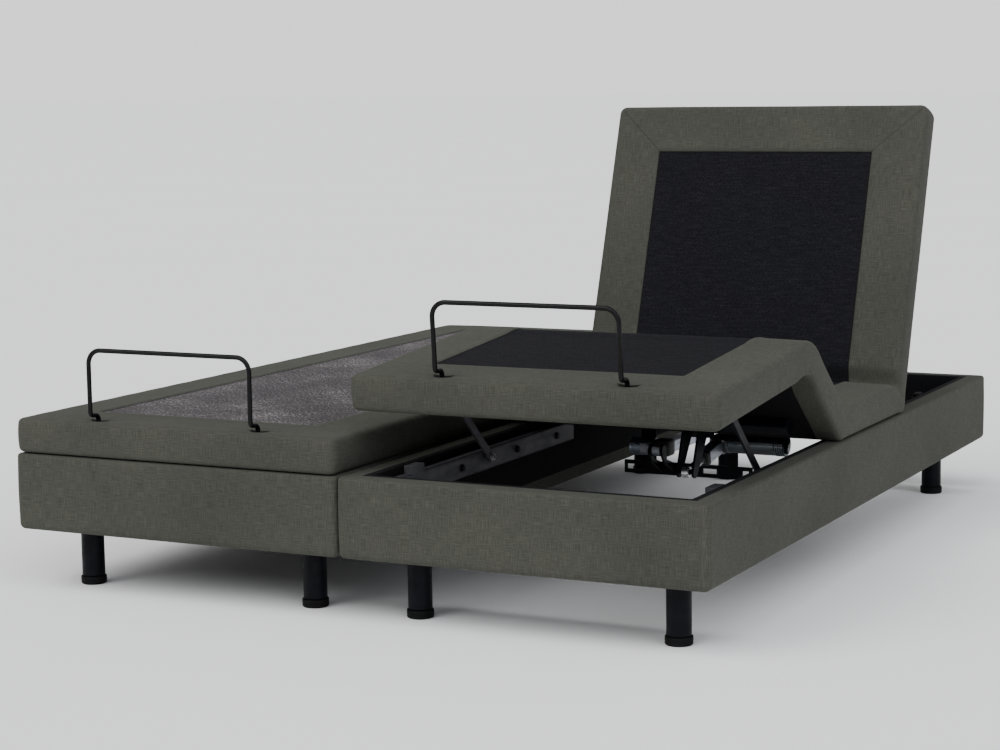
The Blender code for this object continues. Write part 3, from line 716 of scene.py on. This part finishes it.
def settleCloth(points, faces, hold):
    # inflates the closed cover a little, with the held points pinned, and caps how far any point may go
    obj = makeObject("clothTrial", points, faces)
    pins = obj.vertex_groups.new(name="held")
    pins.add(np.nonzero(hold)[0].tolist(), 1.0, "REPLACE")
    cloth = obj.modifiers.new("cloth", "CLOTH")
    s = cloth.settings
    s.vertex_group_mass = "held"
    s.quality = 4
    s.mass = 0.35
    s.tension_stiffness = 18.0
    s.compression_stiffness = 12.0
    s.shear_stiffness = 8.0
    s.bending_stiffness = 0.6
    s.use_pressure = True
    s.uniform_pressure_force = 4.0
    s.effector_weights.gravity = 0.0
    cloth.collision_settings.use_collision = False
    scene = bpy.context.scene
    for n in range(pad["frames"]):
        scene.frame_set(n + 1)
    result = obj.evaluated_get(bpy.context.evaluated_depsgraph_get()).to_mesh()
    moved = np.empty(len(points) * 3, np.float32)
    result.vertices.foreach_get("co", moved)
    scene.frame_set(1)
    mesh = obj.data
    bpy.data.objects.remove(obj)
    bpy.data.meshes.remove(mesh)
    step = moved.reshape(-1, 3).astype(float) - points
    far = np.linalg.norm(step, axis=1, keepdims=True)
    return points + step * np.minimum(1.0, pad["reach"] / np.maximum(far, 1e-9))


def bentToRest(points, centre, degrees, start, end, turnsBefore):
    s, e = np.array(start), np.array(end)
    d = e - s

    def restAt(w):
        return turned(points, centre, degrees * ((1.0 - w) if turnsBefore else w))

    lo = np.zeros(len(points))
    hi = np.ones(len(points))
    for _ in range(40):
        w = 0.5 * (lo + hi)
        above = smooth(0.0, 1.0, ((restAt(w) - s) @ d) / (d @ d)) > w
        lo = np.where(above, w, lo)
        hi = np.where(above, hi, w)
    return restAt(0.5 * (lo + hi))


def zoneEnds(centre, tilt, width):
    # both ends of a fold's blend: width along the slope tilt, with the hinge in the middle
    a = math.radians(tilt)
    n = np.array([0.0, math.cos(a), math.sin(a)]) * 0.5 * width
    c = np.array([0.0, centre[0], centre[1]])
    return tuple(c - n), tuple(c + n)


def flatCover(footY, headY, footEnd, headEnd):
    # block skin -> rounded plate -> cloth settled -> relief along the plate's normal: P + n lift(x, y, z)
    step = 0.009
    block, faces, group = latticeShell(*padGrid(footY, headY, footEnd, headEnd, step))
    points, normal = padShape(block, footEnd, headEnd)
    cuts = [(y, np.abs(block[:, 1] - y) < 1e-6) for y, end in ((footY, footEnd), (headY, headEnd)) if not end]
    # held: the underside, the insert's seam, and the ends that join the next cover
    seam = np.abs(insertDistance(points[:, 0], points[:, 1])) < 0.0022
    hold = (normal[:, 2] < -0.2) | (seam & (normal[:, 2] > 0.7))
    for y, cut in cuts:
        hold |= cut | (np.abs(points[:, 1] - y) < 0.02)
    points = settleCloth(points, faces, hold)
    points = points + normal * padRelief(points, normal)[:, None]
    for y, cut in cuts:
        points[cut, 1] = y
    # cloth coordinates in metres, carried over the edges
    x, y, z = np.moveaxis(block[faces], -1, 0)
    drop = pad["top"] - z
    g = group[:, None]
    u = np.where(g == 2, pad["half"] + drop, np.where(g == 3, -pad["half"] - drop, x))
    v = np.where(g == 4, pad["head"] + drop, np.where(g == 5, pad["foot"] - drop, y))
    uv = np.stack((u, v), -1).reshape(-1, 2)
    # materials: 0 linen, 1 insert on top, 2 lining underneath
    centre = block[faces].mean(1)
    index = np.zeros(len(faces), int)
    index[(group == 0) & (insertDistance(centre[:, 0], centre[:, 1]) < 0)] = 1
    inner = np.abs(centre[:, 0]) < pad["half"] - pad["underRim"]
    if footEnd:
        inner &= centre[:, 1] > pad["foot"] + pad["underRim"]
    if headEnd:
        inner &= centre[:, 1] < pad["head"] - pad["underRim"]
    index[(group == 1) & inner] = 2
    return points, faces, uv, index


print("deck covers")
cutA, cutB = pad["cuts"]
flatShapes = {
    "legCover": flatCover(pad["foot"], cutA, True, False),
    "kneeCover": flatCover(cutA, cutB, False, False),
    "backCover": flatCover(cutB, pad["head"], False, True),
}
thighAt = hinges["thigh"]
kneeUp = tuple(turned(np.array([[0.0, *hinges["knee"]]]), thighAt, raised["thigh"])[0, 1:])
upAt = {"knee": kneeUp, "thigh": thighAt, "back": hinges["back"]}  # the hinges with the unit raised
# each cover's hinge, the slope of its blend when raised, and whether the part before the hinge turns
folds = {"legCover": ("knee", -16.7, True), "kneeCover": ("thigh", -19.0, True), "backCover": ("back", 35.5, False)}

for side, sign in sides.items():
    tag = side + "_"
    isUp = side == "right"
    made = {}
    for key, (points, faces, uv, index) in flatShapes.items():
        hinge, slope, turnsBefore = folds[key]
        at = upAt[hinge] if isUp else hinges[hinge]
        ends = zoneEnds(at, slope if isUp else 0.0, pad["zone"][side][hinge])
        flat = points.copy()
        if sign < 0:  # the two units mirror each other
            flat[:, 0] *= -1.0
            faces = faces[:, ::-1]
            uv = uv.reshape(-1, 4, 2)[:, ::-1].reshape(-1, 2) * (-1.0, 1.0)
        placed = flat.copy()
        if isUp:
            if key == "legCover":
                placed = turned(placed, thighAt, raised["thigh"])
            placed = bentToRest(placed, at, raised[hinge], *ends, turnsBefore)
        placed[:, 0] += sign * unit["centre"]
        obj = makeObject(tag + key, flat, faces)
        for y in pad["cuts"]:
            sharpenPlane(obj, y)
        movePoints(obj, placed)
        setUv(obj, uv)
        setMaterials(obj, (deckLinen, nightInsert if isUp else sheenPaleInsert, blackLining), index)
        made[key] = (obj, ends)
    obj, ends = made["legCover"]
    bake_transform(obj)
    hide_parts(tag + "calf_section")
    obj, ends = made["kneeCover"]
    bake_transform(obj)
    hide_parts(tag + "thigh_section")
    obj, ends = made["backCover"]
    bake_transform(obj)
    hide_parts(tag + "back_section", tag + "seat_section")
    for obj, ends in made.values():
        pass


# upholstered box sides
boxSide = {
    "thick": 0.055, "bottom": 0.1335, "top": 0.3000, "corner": 0.014, "bulge": 0.0016, "hem": 0.030, "lip": 0.0385,
    "edges": (0.007, 0.013, 0.002, 0.004),  # radii: outer top, outer bottom, inner top, inner bottom
    "reach": 0.0008,  # how far a side may puff out past its own unit
}


def boxProfile():
    # (inset from the outer face, height) round one closed section, outer face first
    b, t, w = boxSide["bottom"], boxSide["top"], boxSide["thick"]
    outerTop, outerLow, innerTop, innerLow = boxSide["edges"]
    hem, lip = b + boxSide["hem"], boxSide["lip"]

    def arc(cx, cz, r, a0, a1, n):
        return [(cx + r * math.cos(a), cz + r * math.sin(a)) for a in np.radians(np.linspace(a0, a1, n))]

    pts = arc(outerTop, t - outerTop, outerTop, 90, 180, 6)
    pts += [(0.0, z) for z in np.linspace(t - outerTop, b + outerLow, 22)[1:-1]]
    pts += arc(outerLow, b + outerLow, outerLow, 180, 270, 7)
    pts += [(x, b) for x in np.linspace(outerLow, w - innerLow, 7)[1:-1]]
    pts += arc(w - innerLow, b + innerLow, innerLow, 270, 360, 4)
    pts += [(w, z) for z in (hem - 0.002, hem, hem + 0.001, *np.linspace(b + 0.05, t - innerTop, 8)[:-1])]
    pts += arc(w - innerTop, t - innerTop, innerTop, 0, 90, 4)
    pts += [(x, t) for x in (0.047, lip + 0.001, lip, lip - 0.002, 0.030, 0.018)]
    return np.array(pts)


def boxCover(side, sign):
    # section carried round a rectangle whose corner radius shrinks with the inset until it is a mitre
    prof = boxProfile()
    hx, hy = unit["half"], unit["length"]
    quarter = [(1, -1, 270), (1, 1, 0), (-1, 1, 90), (-1, -1, 180)]
    rows = []  # corner and angle at one end, corner and angle at the other, and how far between them
    for n, (sx, sy, a0) in enumerate(quarter):
        rows += [(sx, sy, a, sx, sy, a, 0.0) for a in np.linspace(a0, a0 + 90, 7)]
        nextX, nextY, nextA = quarter[(n + 1) % 4]
        length = 2 * (hy if sx == nextX else hx)
        count = int(length / (0.011))
        rows += [(sx, sy, a0 + 90, nextX, nextY, nextA, t) for t in np.linspace(0, 1, count + 2)[1:-1]]
    rows = np.array(rows, float)
    d = prof[:, 0][None, :]
    r = np.maximum(boxSide["corner"] - d, 0.0002)

    def corner(sx, sy, a):
        a = np.radians(a)[:, None]
        return sx[:, None] * (hx - d - r) + r * np.cos(a), sy[:, None] * (hy - d - r) + r * np.sin(a)

    ax, ay = corner(*rows[:, :3].T)
    bx, by = corner(*rows[:, 3:6].T)
    t = rows[:, 6][:, None]
    x = ax + (bx - ax) * t
    y = ay + (by - ay) * t
    z = np.broadcast_to(prof[:, 1][None, :], x.shape)
    step = np.hypot(np.diff(x[:, 0], append=x[0, 0]), np.diff(y[:, 0], append=y[0, 0]))
    run = np.concatenate(([0.0], np.cumsum(step)))
    face = np.clip(1.0 - d / 0.004, 0.0, 1.0)
    mid = (z - 0.5 * (boxSide["top"] + boxSide["bottom"])) / (0.5 * (boxSide["top"] - boxSide["bottom"]))
    puff = face * boxSide["bulge"] * (1.0 - mid ** 2) * (0.6 + 0.5 * ripple(run[:-1, None], z * 2.0, 4.0))
    outX = np.gradient(y, axis=0)
    outY = -np.gradient(x, axis=0)
    size = np.maximum(np.hypot(outX, outY), 1e-9)
    edge = hx + boxSide["reach"]
    x = np.clip(x + puff * outX / size, -edge, edge)  # the two boxes stay clear of each other
    y = y + puff * outY / size
    points = np.stack((x, y, z), -1).reshape(-1, 3)
    ids = np.arange(x.size).reshape(x.shape)
    nextRow = np.roll(ids, -1, 0)
    quads = np.stack((ids, np.roll(ids, -1, 1), np.roll(nextRow, -1, 1), nextRow), -1).reshape(-1, 4)
    # cloth coordinates: length along the side, and down the section from its top
    length = np.concatenate(([0.0], np.cumsum(np.hypot(*np.diff(np.vstack((prof, prof[:1])), axis=0).T))))
    along = [np.broadcast_to(run[s, None], x.shape) for s in (slice(None, -1), slice(1, None))]
    down = [np.broadcast_to(-length[None, s], x.shape) for s in (slice(None, -1), slice(1, None))]
    uv = np.stack([np.stack((along[a], down[b]), -1) for a, b in ((0, 0), (0, 1), (1, 1), (1, 0))], 2)
    uv = uv.reshape(-1, 4, 2)
    midInset, midZ = (0.5 * (prof + np.roll(prof, -1, 0))).T
    lined = (midInset > boxSide["lip"]) & (midZ > boxSide["bottom"] + boxSide["hem"])
    index = np.broadcast_to(lined.astype(int)[None, :], x.shape).reshape(-1)
    if sign < 0:
        points[:, 0] *= -1.0
        quads = quads[:, ::-1]
        uv = uv[:, ::-1] * (-1.0, 1.0)
    points[:, 0] += sign * unit["centre"]
    obj = makeObject(side + "_boxCover", points, quads)
    setUv(obj, uv.reshape(-1, 2))
    setMaterials(obj, (coverLinen, blackLining), index)
    tag = side + "_"
    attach(obj, "root")
    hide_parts(tag + "foot_rail", tag + "head_rail", tag + "outer_rail", tag + "inner_rail")


print("box covers")
for side, sign in sides.items():
    boxCover(side, sign)


# legs
legs = {"radius": 0.0250, "cap": 0.0280, "capHeight": 0.0180, "top": 0.1340}
print("legs")
r, c, h, top = legs["radius"], legs["cap"], legs["capHeight"], legs["top"]
legProfiles = {  # radius and height, from the floor up
    "tube": [(r - 0.0015, h + 0.0004), (r, h + 0.0018), (r, top - 0.003), (r - 0.002, top - 0.0005)],
    "cap": [
        (c - 0.0055, 0.0), (c - 0.002, 0.0006), (c - 0.0004, 0.0022), (c, 0.0048), (c - 0.0006, 0.0060),
        (c - 0.0006, 0.0072), (c, 0.0084), (c, h - 0.0022), (c - 0.0008, h - 0.0006), (c - 0.0026, h), (r - 0.003, h),
    ],
}
for side in sides:
    for corner in ("foot_outer", "foot_inner", "head_outer", "head_inner"):
        name = f"{side}_leg_{corner}"
        lo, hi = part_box(name)
        centre = (0.5 * (lo[0] + hi[0]), 0.5 * (lo[1] + hi[1]), 0.0)
        for part, profile in legProfiles.items():
            piece = turnedPiece(f"{name}_{part}", profile, centre, (0, 0, 1), 56)
            finishPiece(piece, blackPaint if part == "tube" else rubber, "root")
            if part == "tube":
                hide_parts(name)


# retainer bars
wire = {
    "radius": 0.005, "half": 0.200, "rise": 0.157, "y": -0.966, "forward": 0.028,
    "corner": 0.030, "top": 0.375, "foot": 0.323,
}


def smoothPath(points, samples):
    # Catmull-Rom curve through the points a, b, c, d, with t from b to c:
    # half of 2b + (c - a) t + (2a - 5b + 4c - d) t^2 + (3b - a - 3c + d) t^3
    p = np.asarray(points, float)
    p = np.vstack((2 * p[0] - p[1], p, 2 * p[-1] - p[-2]))
    t = np.linspace(0, 1, samples, endpoint=False)[:, None]
    parts = []
    for a, b, c, d in zip(p[:-3], p[1:-2], p[2:-1], p[3:]):
        bend, twist = 2 * a - 5 * b + 4 * c - d, 3 * b - a - 3 * c + d
        parts.append(0.5 * (2 * b + (c - a) * t + bend * t ** 2 + twist * t ** 3))
    return np.vstack(parts + [p[-2][None]])


def retainerPath():
    # half of the centre line, from the foot through its crook and up round the corner, then mirrored
    h, y, top, c = wire["half"], wire["y"], wire["top"], wire["corner"]
    front, crest = y - wire["forward"], top + wire["rise"]
    crook = [
        (y, wire["foot"]), (y, top + 0.001), (y - 0.0012, top + 0.0095), (y - 0.0065, top + 0.0152),
        (front + 0.0075, top + 0.0172), (front + 0.0018, top + 0.0208), (front, top + 0.028), (front, top + 0.045),
    ]
    foot = smoothPath([(h, *place) for place in crook], 5)
    a = np.radians(np.linspace(0, 90, 12))
    bend = np.stack((h - c + c * np.cos(a), np.full(12, front), crest - c + c * np.sin(a)), 1)
    climb = np.linspace(foot[-1], bend[0], 8)[1:-1]
    half = np.vstack((foot, climb, bend))
    cross = np.linspace(half[-1], half[-1] * (-1, 1, 1), 14)[1:-1]
    return np.vstack((half, cross, half[::-1] * (-1, 1, 1)))


print("retainer bars")
for side, sign in sides.items():
    path = retainerPath()
    path[:, 0] = path[:, 0] + sign * unit["centre"]
    if side == "right":
        path = turned(turned(path, thighAt, raised["thigh"]), kneeUp, raised["knee"])
    bar = sweepTube(side + "_retainerWire", path, wire["radius"], 22)
    finishPiece(bar, barPaint, side + "_calf")
    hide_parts(side + "_retainer_bar")


# electric thrust drives, made lying along +Y from their pivots and then turned to their aim
drive = {
    "leg": {
        "u": 0.075, "pivot": (-0.050, 0.268), "aim": {"left": -155.476, "right": -171.000},
        "tube": 0.158, "motor": 0.162, "radius": 0.0255, "offset": -0.006, "finish": motorDark, "plate": (205, 250),
    },
    "back": {
        "u": -0.085, "pivot": (-0.080, 0.235), "aim": {"left": -0.532, "right": 0.309},
        "tube": 0.250, "motor": -0.082, "radius": 0.0215, "offset": 0.0, "finish": motorSteel, "plate": (150, 215),
    },
}
driveSize = {
    "gear": 0.0193, "gearBore": 0.0104, "gearEnd": 0.0640, "gearBoreStart": 0.0560,
    "tube": 0.0145, "tubeBore": 0.0102, "tubeStart": 0.0600, "collar": 0.0145, "collarBore": 0.0106,
    "screw": 0.0026, "screws": 0.0145, "motorAt": 0.043, "motorCap": 0.026, "ribs": 4,
}
# distance along the axis and how much less than the full half width: chamfers and a parting groove
gearSteps = (
    (0.0262, 0.004), (0.0275, 0.0015), (0.030, 0.0), (0.043, 0.0), (0.0435, 0.0009), (0.0445, 0.0009),
    (0.045, 0.0), (0.0605, 0.0), (0.063, 0.0015), (driveSize["gearEnd"], 0.004),
)
# distance, half width and half height of the lug at the pivot
lugSteps = (
    (-0.0108, 0.0085, 0.0070), (-0.0095, 0.0098, 0.0095), (-0.006, 0.0100, 0.0110),
    (0.026, 0.0100, 0.0110), (0.030, 0.0100, 0.0110),
)


def loft(name, stations, along, around=40, hollow=False):
    # rounded sections on a straight axis: x = a |cos t|^(2/n), z = b |sin t|^(2/n) with their signs;
    # n 2 is an ellipse, 8 nearly a box
    t = np.linspace(0.0, 2.0 * math.pi, around, endpoint=False) + math.pi / around
    c, s = np.cos(t), np.sin(t)
    rings = []
    for at, a, b, n, cx, cz in stations:
        p = np.sign(c) * np.abs(c) ** (2.0 / n) * a + cx
        q = np.sign(s) * np.abs(s) ** (2.0 / n) * b + cz
        rings.append(np.stack((np.full(around, at), p, q) if along == "x" else (-p, np.full(around, at), q), 1))
    return stackRings(name, np.array(rings), hollow)


def ribs(a, b, count, high, low):
    # evenly spaced fins: two low and two high stations for each
    pitch = (b - a) / count
    rise = pitch * 0.06
    out = []
    for n in range(count):
        s0 = a + (b - a) * n / count
        s1 = a + (b - a) * (n + 0.55) / count
        out += [(s0, low), (s0 + rise, high), (s1, high), (s1 + rise, low)]
    return out


def makeDrive(tag, d):
    # its pieces with their finishes, along +Y from the pivot
    size = driveSize
    u, (py, pz) = d["u"], d["pivot"]
    mouth = py + d["tube"]

    def section(at, half, power, tall=None):
        return (at, half, half if tall is None else tall, power, -u, pz)

    stations = [section(py + at, size["gear"] - less, 7) for at, less in gearSteps]
    stations += [section(py + size[key], size["gearBore"], 2) for key in ("gearEnd", "gearBoreStart")]
    gear = loft(tag + "_gearbox", stations, "y")
    lug = loft(tag + "_lug", [section(py + at, half, 6, tall) for at, half, tall in lugSteps], "y")
    wide, bore = size["tube"], size["tubeBore"]
    start = py + size["tubeStart"]
    tube = loft(tag + "_tube", [
        section(start, bore, 2), section(start, wide, 12), section(mouth - 0.0010, wide, 12),
        section(mouth, wide - 0.0008, 12), section(mouth, bore, 2)], "y", 56, True)
    bore = size["collarBore"]
    start, end = mouth - size["collar"], mouth + 0.0018
    collar = loft(tag + "_collar", [
        section(start, bore, 2), section(start, wide + 0.0002, 12), section(mouth - 0.0140, wide + 0.0011, 10),
        section(mouth + 0.0010, wide + 0.0011, 10), section(end, wide, 10), section(end, bore, 2)], "y", 56, True)

    # motor across the gearbox: neck, smooth body, and a cap with ribs
    my, mz, mr = py + size["motorAt"], pz + d["offset"], d["radius"]
    body = mr - 0.0006
    way = 1.0 if d["motor"] > 0 else -1.0
    end = u + d["motor"]
    cap = end - way * size["motorCap"]
    run = [(u + way * at, radius) for at, radius in (
        (0.0185, mr * 0.80), (0.0200, mr), (0.0260, mr), (0.0272, body - 0.0012), (0.0284, body))]
    run += [(cap - way * 0.0016, body), (cap, mr - 0.0022)]
    run += ribs(cap + way * 0.0008, end - way * 0.0040, size["ribs"], mr, mr - 0.0020)
    run += [
        (end - way * 0.0030, mr - 0.0012), (end - way * 0.0008, mr - 0.0040), (end, mr - 0.0075),
        (end - way * 0.0002, 0.0060), (end + way * 0.0004, 0.0050)]
    motor = loft(tag + "_motor", [(at, radius, radius, 2, my, mz) for at, radius in run], "x", 64)

    # blank plate: (x, my + r cos a, mz + r sin a) at two radii
    span = np.linspace(u + way * 0.034, u + way * min(0.034 + 0.040, abs(end - u) - 0.029), 6)
    x, a = np.meshgrid(span, np.radians(np.linspace(*d["plate"], 10)), indexing="ij")
    skins = [np.stack((x, my + r * np.cos(a), mz + r * np.sin(a)), -1) for r in (body + 0.0002, body + 0.0009)]
    plate = plateShell(tag + "_plate", *skins)
    (motor if way < 0 else plate).data.flip_normals()

    pieces = [
        (gear, blackPlastic), (lug, housingGrey), (tube, tubeAlloy), (collar, blackPlastic),
        (motor, d["finish"]), (plate, paleLabel),
    ]
    for n, (sx, sz) in enumerate(((1, 1), (1, -1), (-1, 1), (-1, -1))):
        at = (u + sx * size["screws"], py + size["gearEnd"], pz + sz * size["screws"])
        pieces.append((screwHead(f"{tag}_screw{n}", at, (0, 1, 0)), boltZinc))
    return pieces


def placeDrive(obj, d, side, sign):
    p = turned(pointsOf(obj).astype(float), d["pivot"], d["aim"][side])
    if sign < 0:
        p[:, 0] *= -1.0
        obj.data.flip_normals()
    p[:, 0] += sign * unit["centre"]
    movePoints(obj, p)


def screwHead(name, place, direction):
    # low domed head turned about its own axis
    r = driveSize["screw"]
    profile = [(r * 0.98, -0.0008), (r, 0.0004), (r * 0.86, 0.0012), (r * 0.5, 0.0016)]
    return turnedPiece(name, profile, place, direction, 16)


print("drives")
for side, sign in sides.items():
    for key, d in drive.items():
        body = f"{side}_{key}_drive"
        pieces = makeDrive(f"{side}_{key}Drive", d)
        for obj, material in pieces:
            placeDrive(obj, d, side, sign)
            finishPiece(obj, material, body)
        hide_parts(body + "_housing")


# fixings on the links and rails; u is how far out from the unit's middle
fixing = {
    "base": (-0.4819, 0.268), "baseU": 0.3083,
    "rails": (-0.900, -0.600, -0.330, -0.120), "railHeight": 0.261, "railU": 0.3219,
    "head": 0.013, "washer": 0.0085,
}
walls = (("outer", 1.0), ("inner", -1.0))


def hexBolt(name, place, direction):
    # washer disc and six-sided head with a chamfered top
    w, h = fixing["washer"], fixing["head"] / 2 / math.cos(math.pi / 6)
    disc = [(w - 0.0004, 0.0), (w, 0.0004), (w, 0.0011), (w - 0.0004, 0.0015)]
    flat = turnedPiece(name + "_washer", disc, place, direction, 28)
    head = turnedPiece(name + "_head", [(h, 0.0012), (h, 0.0052), (h * 0.86, 0.0062)], place, direction, 6)
    head.data.polygons.foreach_set("use_smooth", np.zeros(len(head.data.polygons), bool))
    return flat, head


print("fixings")
for side, sign in sides.items():
    for edge, way in walls:
        baseX = sign * (unit["centre"] + way * fixing["baseU"])
        railX = sign * (unit["centre"] + way * fixing["railU"])
        spots = [("base", (baseX, *fixing["base"]), f"{side}_calf_links", boltZinc)]
        for n, y in enumerate(fixing["rails"]):
            spots.append((f"rail{n}", (railX, y, fixing["railHeight"]), "root", blackPaint))
        for key, place, body, material in spots:
            for piece in hexBolt(f"{side}_{edge}_{key}", place, (-sign * way, 0.0, 0.0)):
                finishPiece(piece, material, body)


# rubber rests for the back section on the inner walls
rest = {"u": 0.3315, "y": 0.605, "half": (0.0125, 0.024), "bottom": 0.262, "top": 0.3012}
print("rests")
a, b = rest["half"]
low, high = rest["bottom"], rest["top"]
restStations = [(z, a - dx, b - dy, n, 0, 0) for z, dx, dy, n in (
    (low, 0.002, 0.002, 5), (low + 0.0015, 0.0, 0.0, 5), (high - 0.010, 0.0, 0.0, 5),
    (high - 0.009, 0.0035, 0.004, 5), (high - 0.003, 0.0035, 0.004, 4), (high - 0.0008, 0.005, 0.0055, 4),
    (high, 0.007, 0.008, 4))]
for side, sign in sides.items():
    for edge, way in walls:
        block = loft(f"{side}_{edge}_backRest", restStations, "x")
        z, x, y = pointsOf(block).T  # stood upright
        x = x + sign * (unit["centre"] + way * rest["u"])
        movePoints(block, np.stack((x, rest["y"] + y, z), 1))
        finishPiece(block, rubber, "root")


# steelwork keeps its CAD shape and gets its finish
print("steel finishes")
finishes = {
    "foot_leg_strap": blackPaint, "head_leg_strap": blackPaint, "seat_cross_tube": blackPaint,
    "outer_steel_rail": railPaint, "inner_steel_rail": railPaint, "motor_tray": blackPaint,
    "leg_lift_frame": blackPaint, "back_lift_frame": blackPaint, "calf_cross_bar": blackPaint,
    "calf_link_outer": blackPaint, "calf_link_inner": railPaint,
    "leg_drive_rod": rodSteel, "back_drive_rod": rodSteel,
}
for side in sides:
    for key, material in finishes.items():
        setMaterials(nodes[side + "_" + key], (material,))


# floor, light and camera
print("studio")
studio = {
    "floor": grey(0.95), "floorHalf": 150, "ambient": 0.45, "backdrop": 1.33,
    # degrees right of the foot end, degrees above the floor, spread, strength and tint
    "keySun": (-24.0, 47.0, 55.0, 2.7, (1.0, 1.0, 1.0)), "fillSun": (58.0, 40.0, 60.0, 1.7, (0.95, 0.985, 1.06)),
}
view = {"at": (2.302, -4.866, 1.084), "yaw": 26.52, "pitch": 7.38, "roll": -0.75, "lens": 81.77}


def addFloor():
    mesh = bpy.data.meshes.new("floor")
    s = studio["floorHalf"]
    mesh.from_pydata([(-s, -s, 0), (s, -s, 0), (s, s, 0), (-s, s, 0)], [], [(0, 1, 2, 3)])
    obj = bpy.data.objects.new("floor", mesh)
    bpy.context.scene.collection.objects.link(obj)
    mat, tree, bsdf = newMaterial("floorPale")
    place = addNode(tree, "ShaderNodeTexCoord", (-800, 0)).outputs["Object"]
    tint = noise(tree, place, 0.6, 3.0, 0.5, (-600, 0))
    tones = [(0.3, shade(studio["floor"], 0.985)), (0.7, studio["floor"])]
    tree.links.new(ramp(tree, tint, tones), bsdf.inputs["Base Color"])
    setShader(bsdf, {"Roughness": 0.85, "Specular IOR Level": 0.1})
    obj.data.materials.append(mat)


def addSun(name, around, height, spread, energy, tint):
    # even light from far away
    data = bpy.data.lights.new(name, "SUN")
    data.angle = math.radians(spread)
    data.energy = energy
    data.color = tint
    obj = bpy.data.objects.new(name, data)
    a, h = math.radians(around), math.radians(height)
    ahead = Vector((-math.sin(a) * math.cos(h), math.cos(a) * math.cos(h), -math.sin(h)))
    obj.rotation_euler = ahead.to_track_quat("-Z", "Y").to_euler()
    bpy.context.scene.collection.objects.link(obj)


def addCamera():
    yaw, pitch, roll = (math.radians(view[k]) for k in ("yaw", "pitch", "roll"))
    ahead = Vector((-math.sin(yaw) * math.cos(pitch), math.cos(yaw) * math.cos(pitch), -math.sin(pitch)))
    right = Vector((math.cos(yaw), math.sin(yaw), 0.0))
    up = right.cross(ahead)
    r = math.cos(roll) * right + math.sin(roll) * up
    u = -math.sin(roll) * right + math.cos(roll) * up
    data = bpy.data.cameras.new("camera")
    data.lens = view["lens"]
    data.sensor_width = 36.0
    data.clip_end = 200.0
    obj = bpy.data.objects.new("camera", data)
    obj.matrix_world = Matrix.Translation(view["at"]) @ Matrix((r, u, -ahead)).transposed().to_4x4()
    bpy.context.scene.collection.objects.link(obj)
    bpy.context.scene.camera = obj


def addWorld():
    world = bpy.data.worlds.new("studioWhite")
    bpy.context.scene.world = world
    world.use_nodes = True
    tree = world.node_tree
    back = tree.nodes["Background"]
    back.inputs[0].default_value = (1.0, 1.0, 1.0, 1.0)
    path = addNode(tree, "ShaderNodeLightPath", (-600, 0))
    gap = studio["backdrop"] - studio["ambient"]
    # the backdrop is paler than the light it gives
    strength = mathNode(tree, "MULTIPLY_ADD", path.outputs["Is Camera Ray"], gap, studio["ambient"])
    tree.links.new(strength, back.inputs[1])


addFloor()
for name in ("keySun", "fillSun"):
    addSun(name, *studio[name])
addWorld()
addCamera()
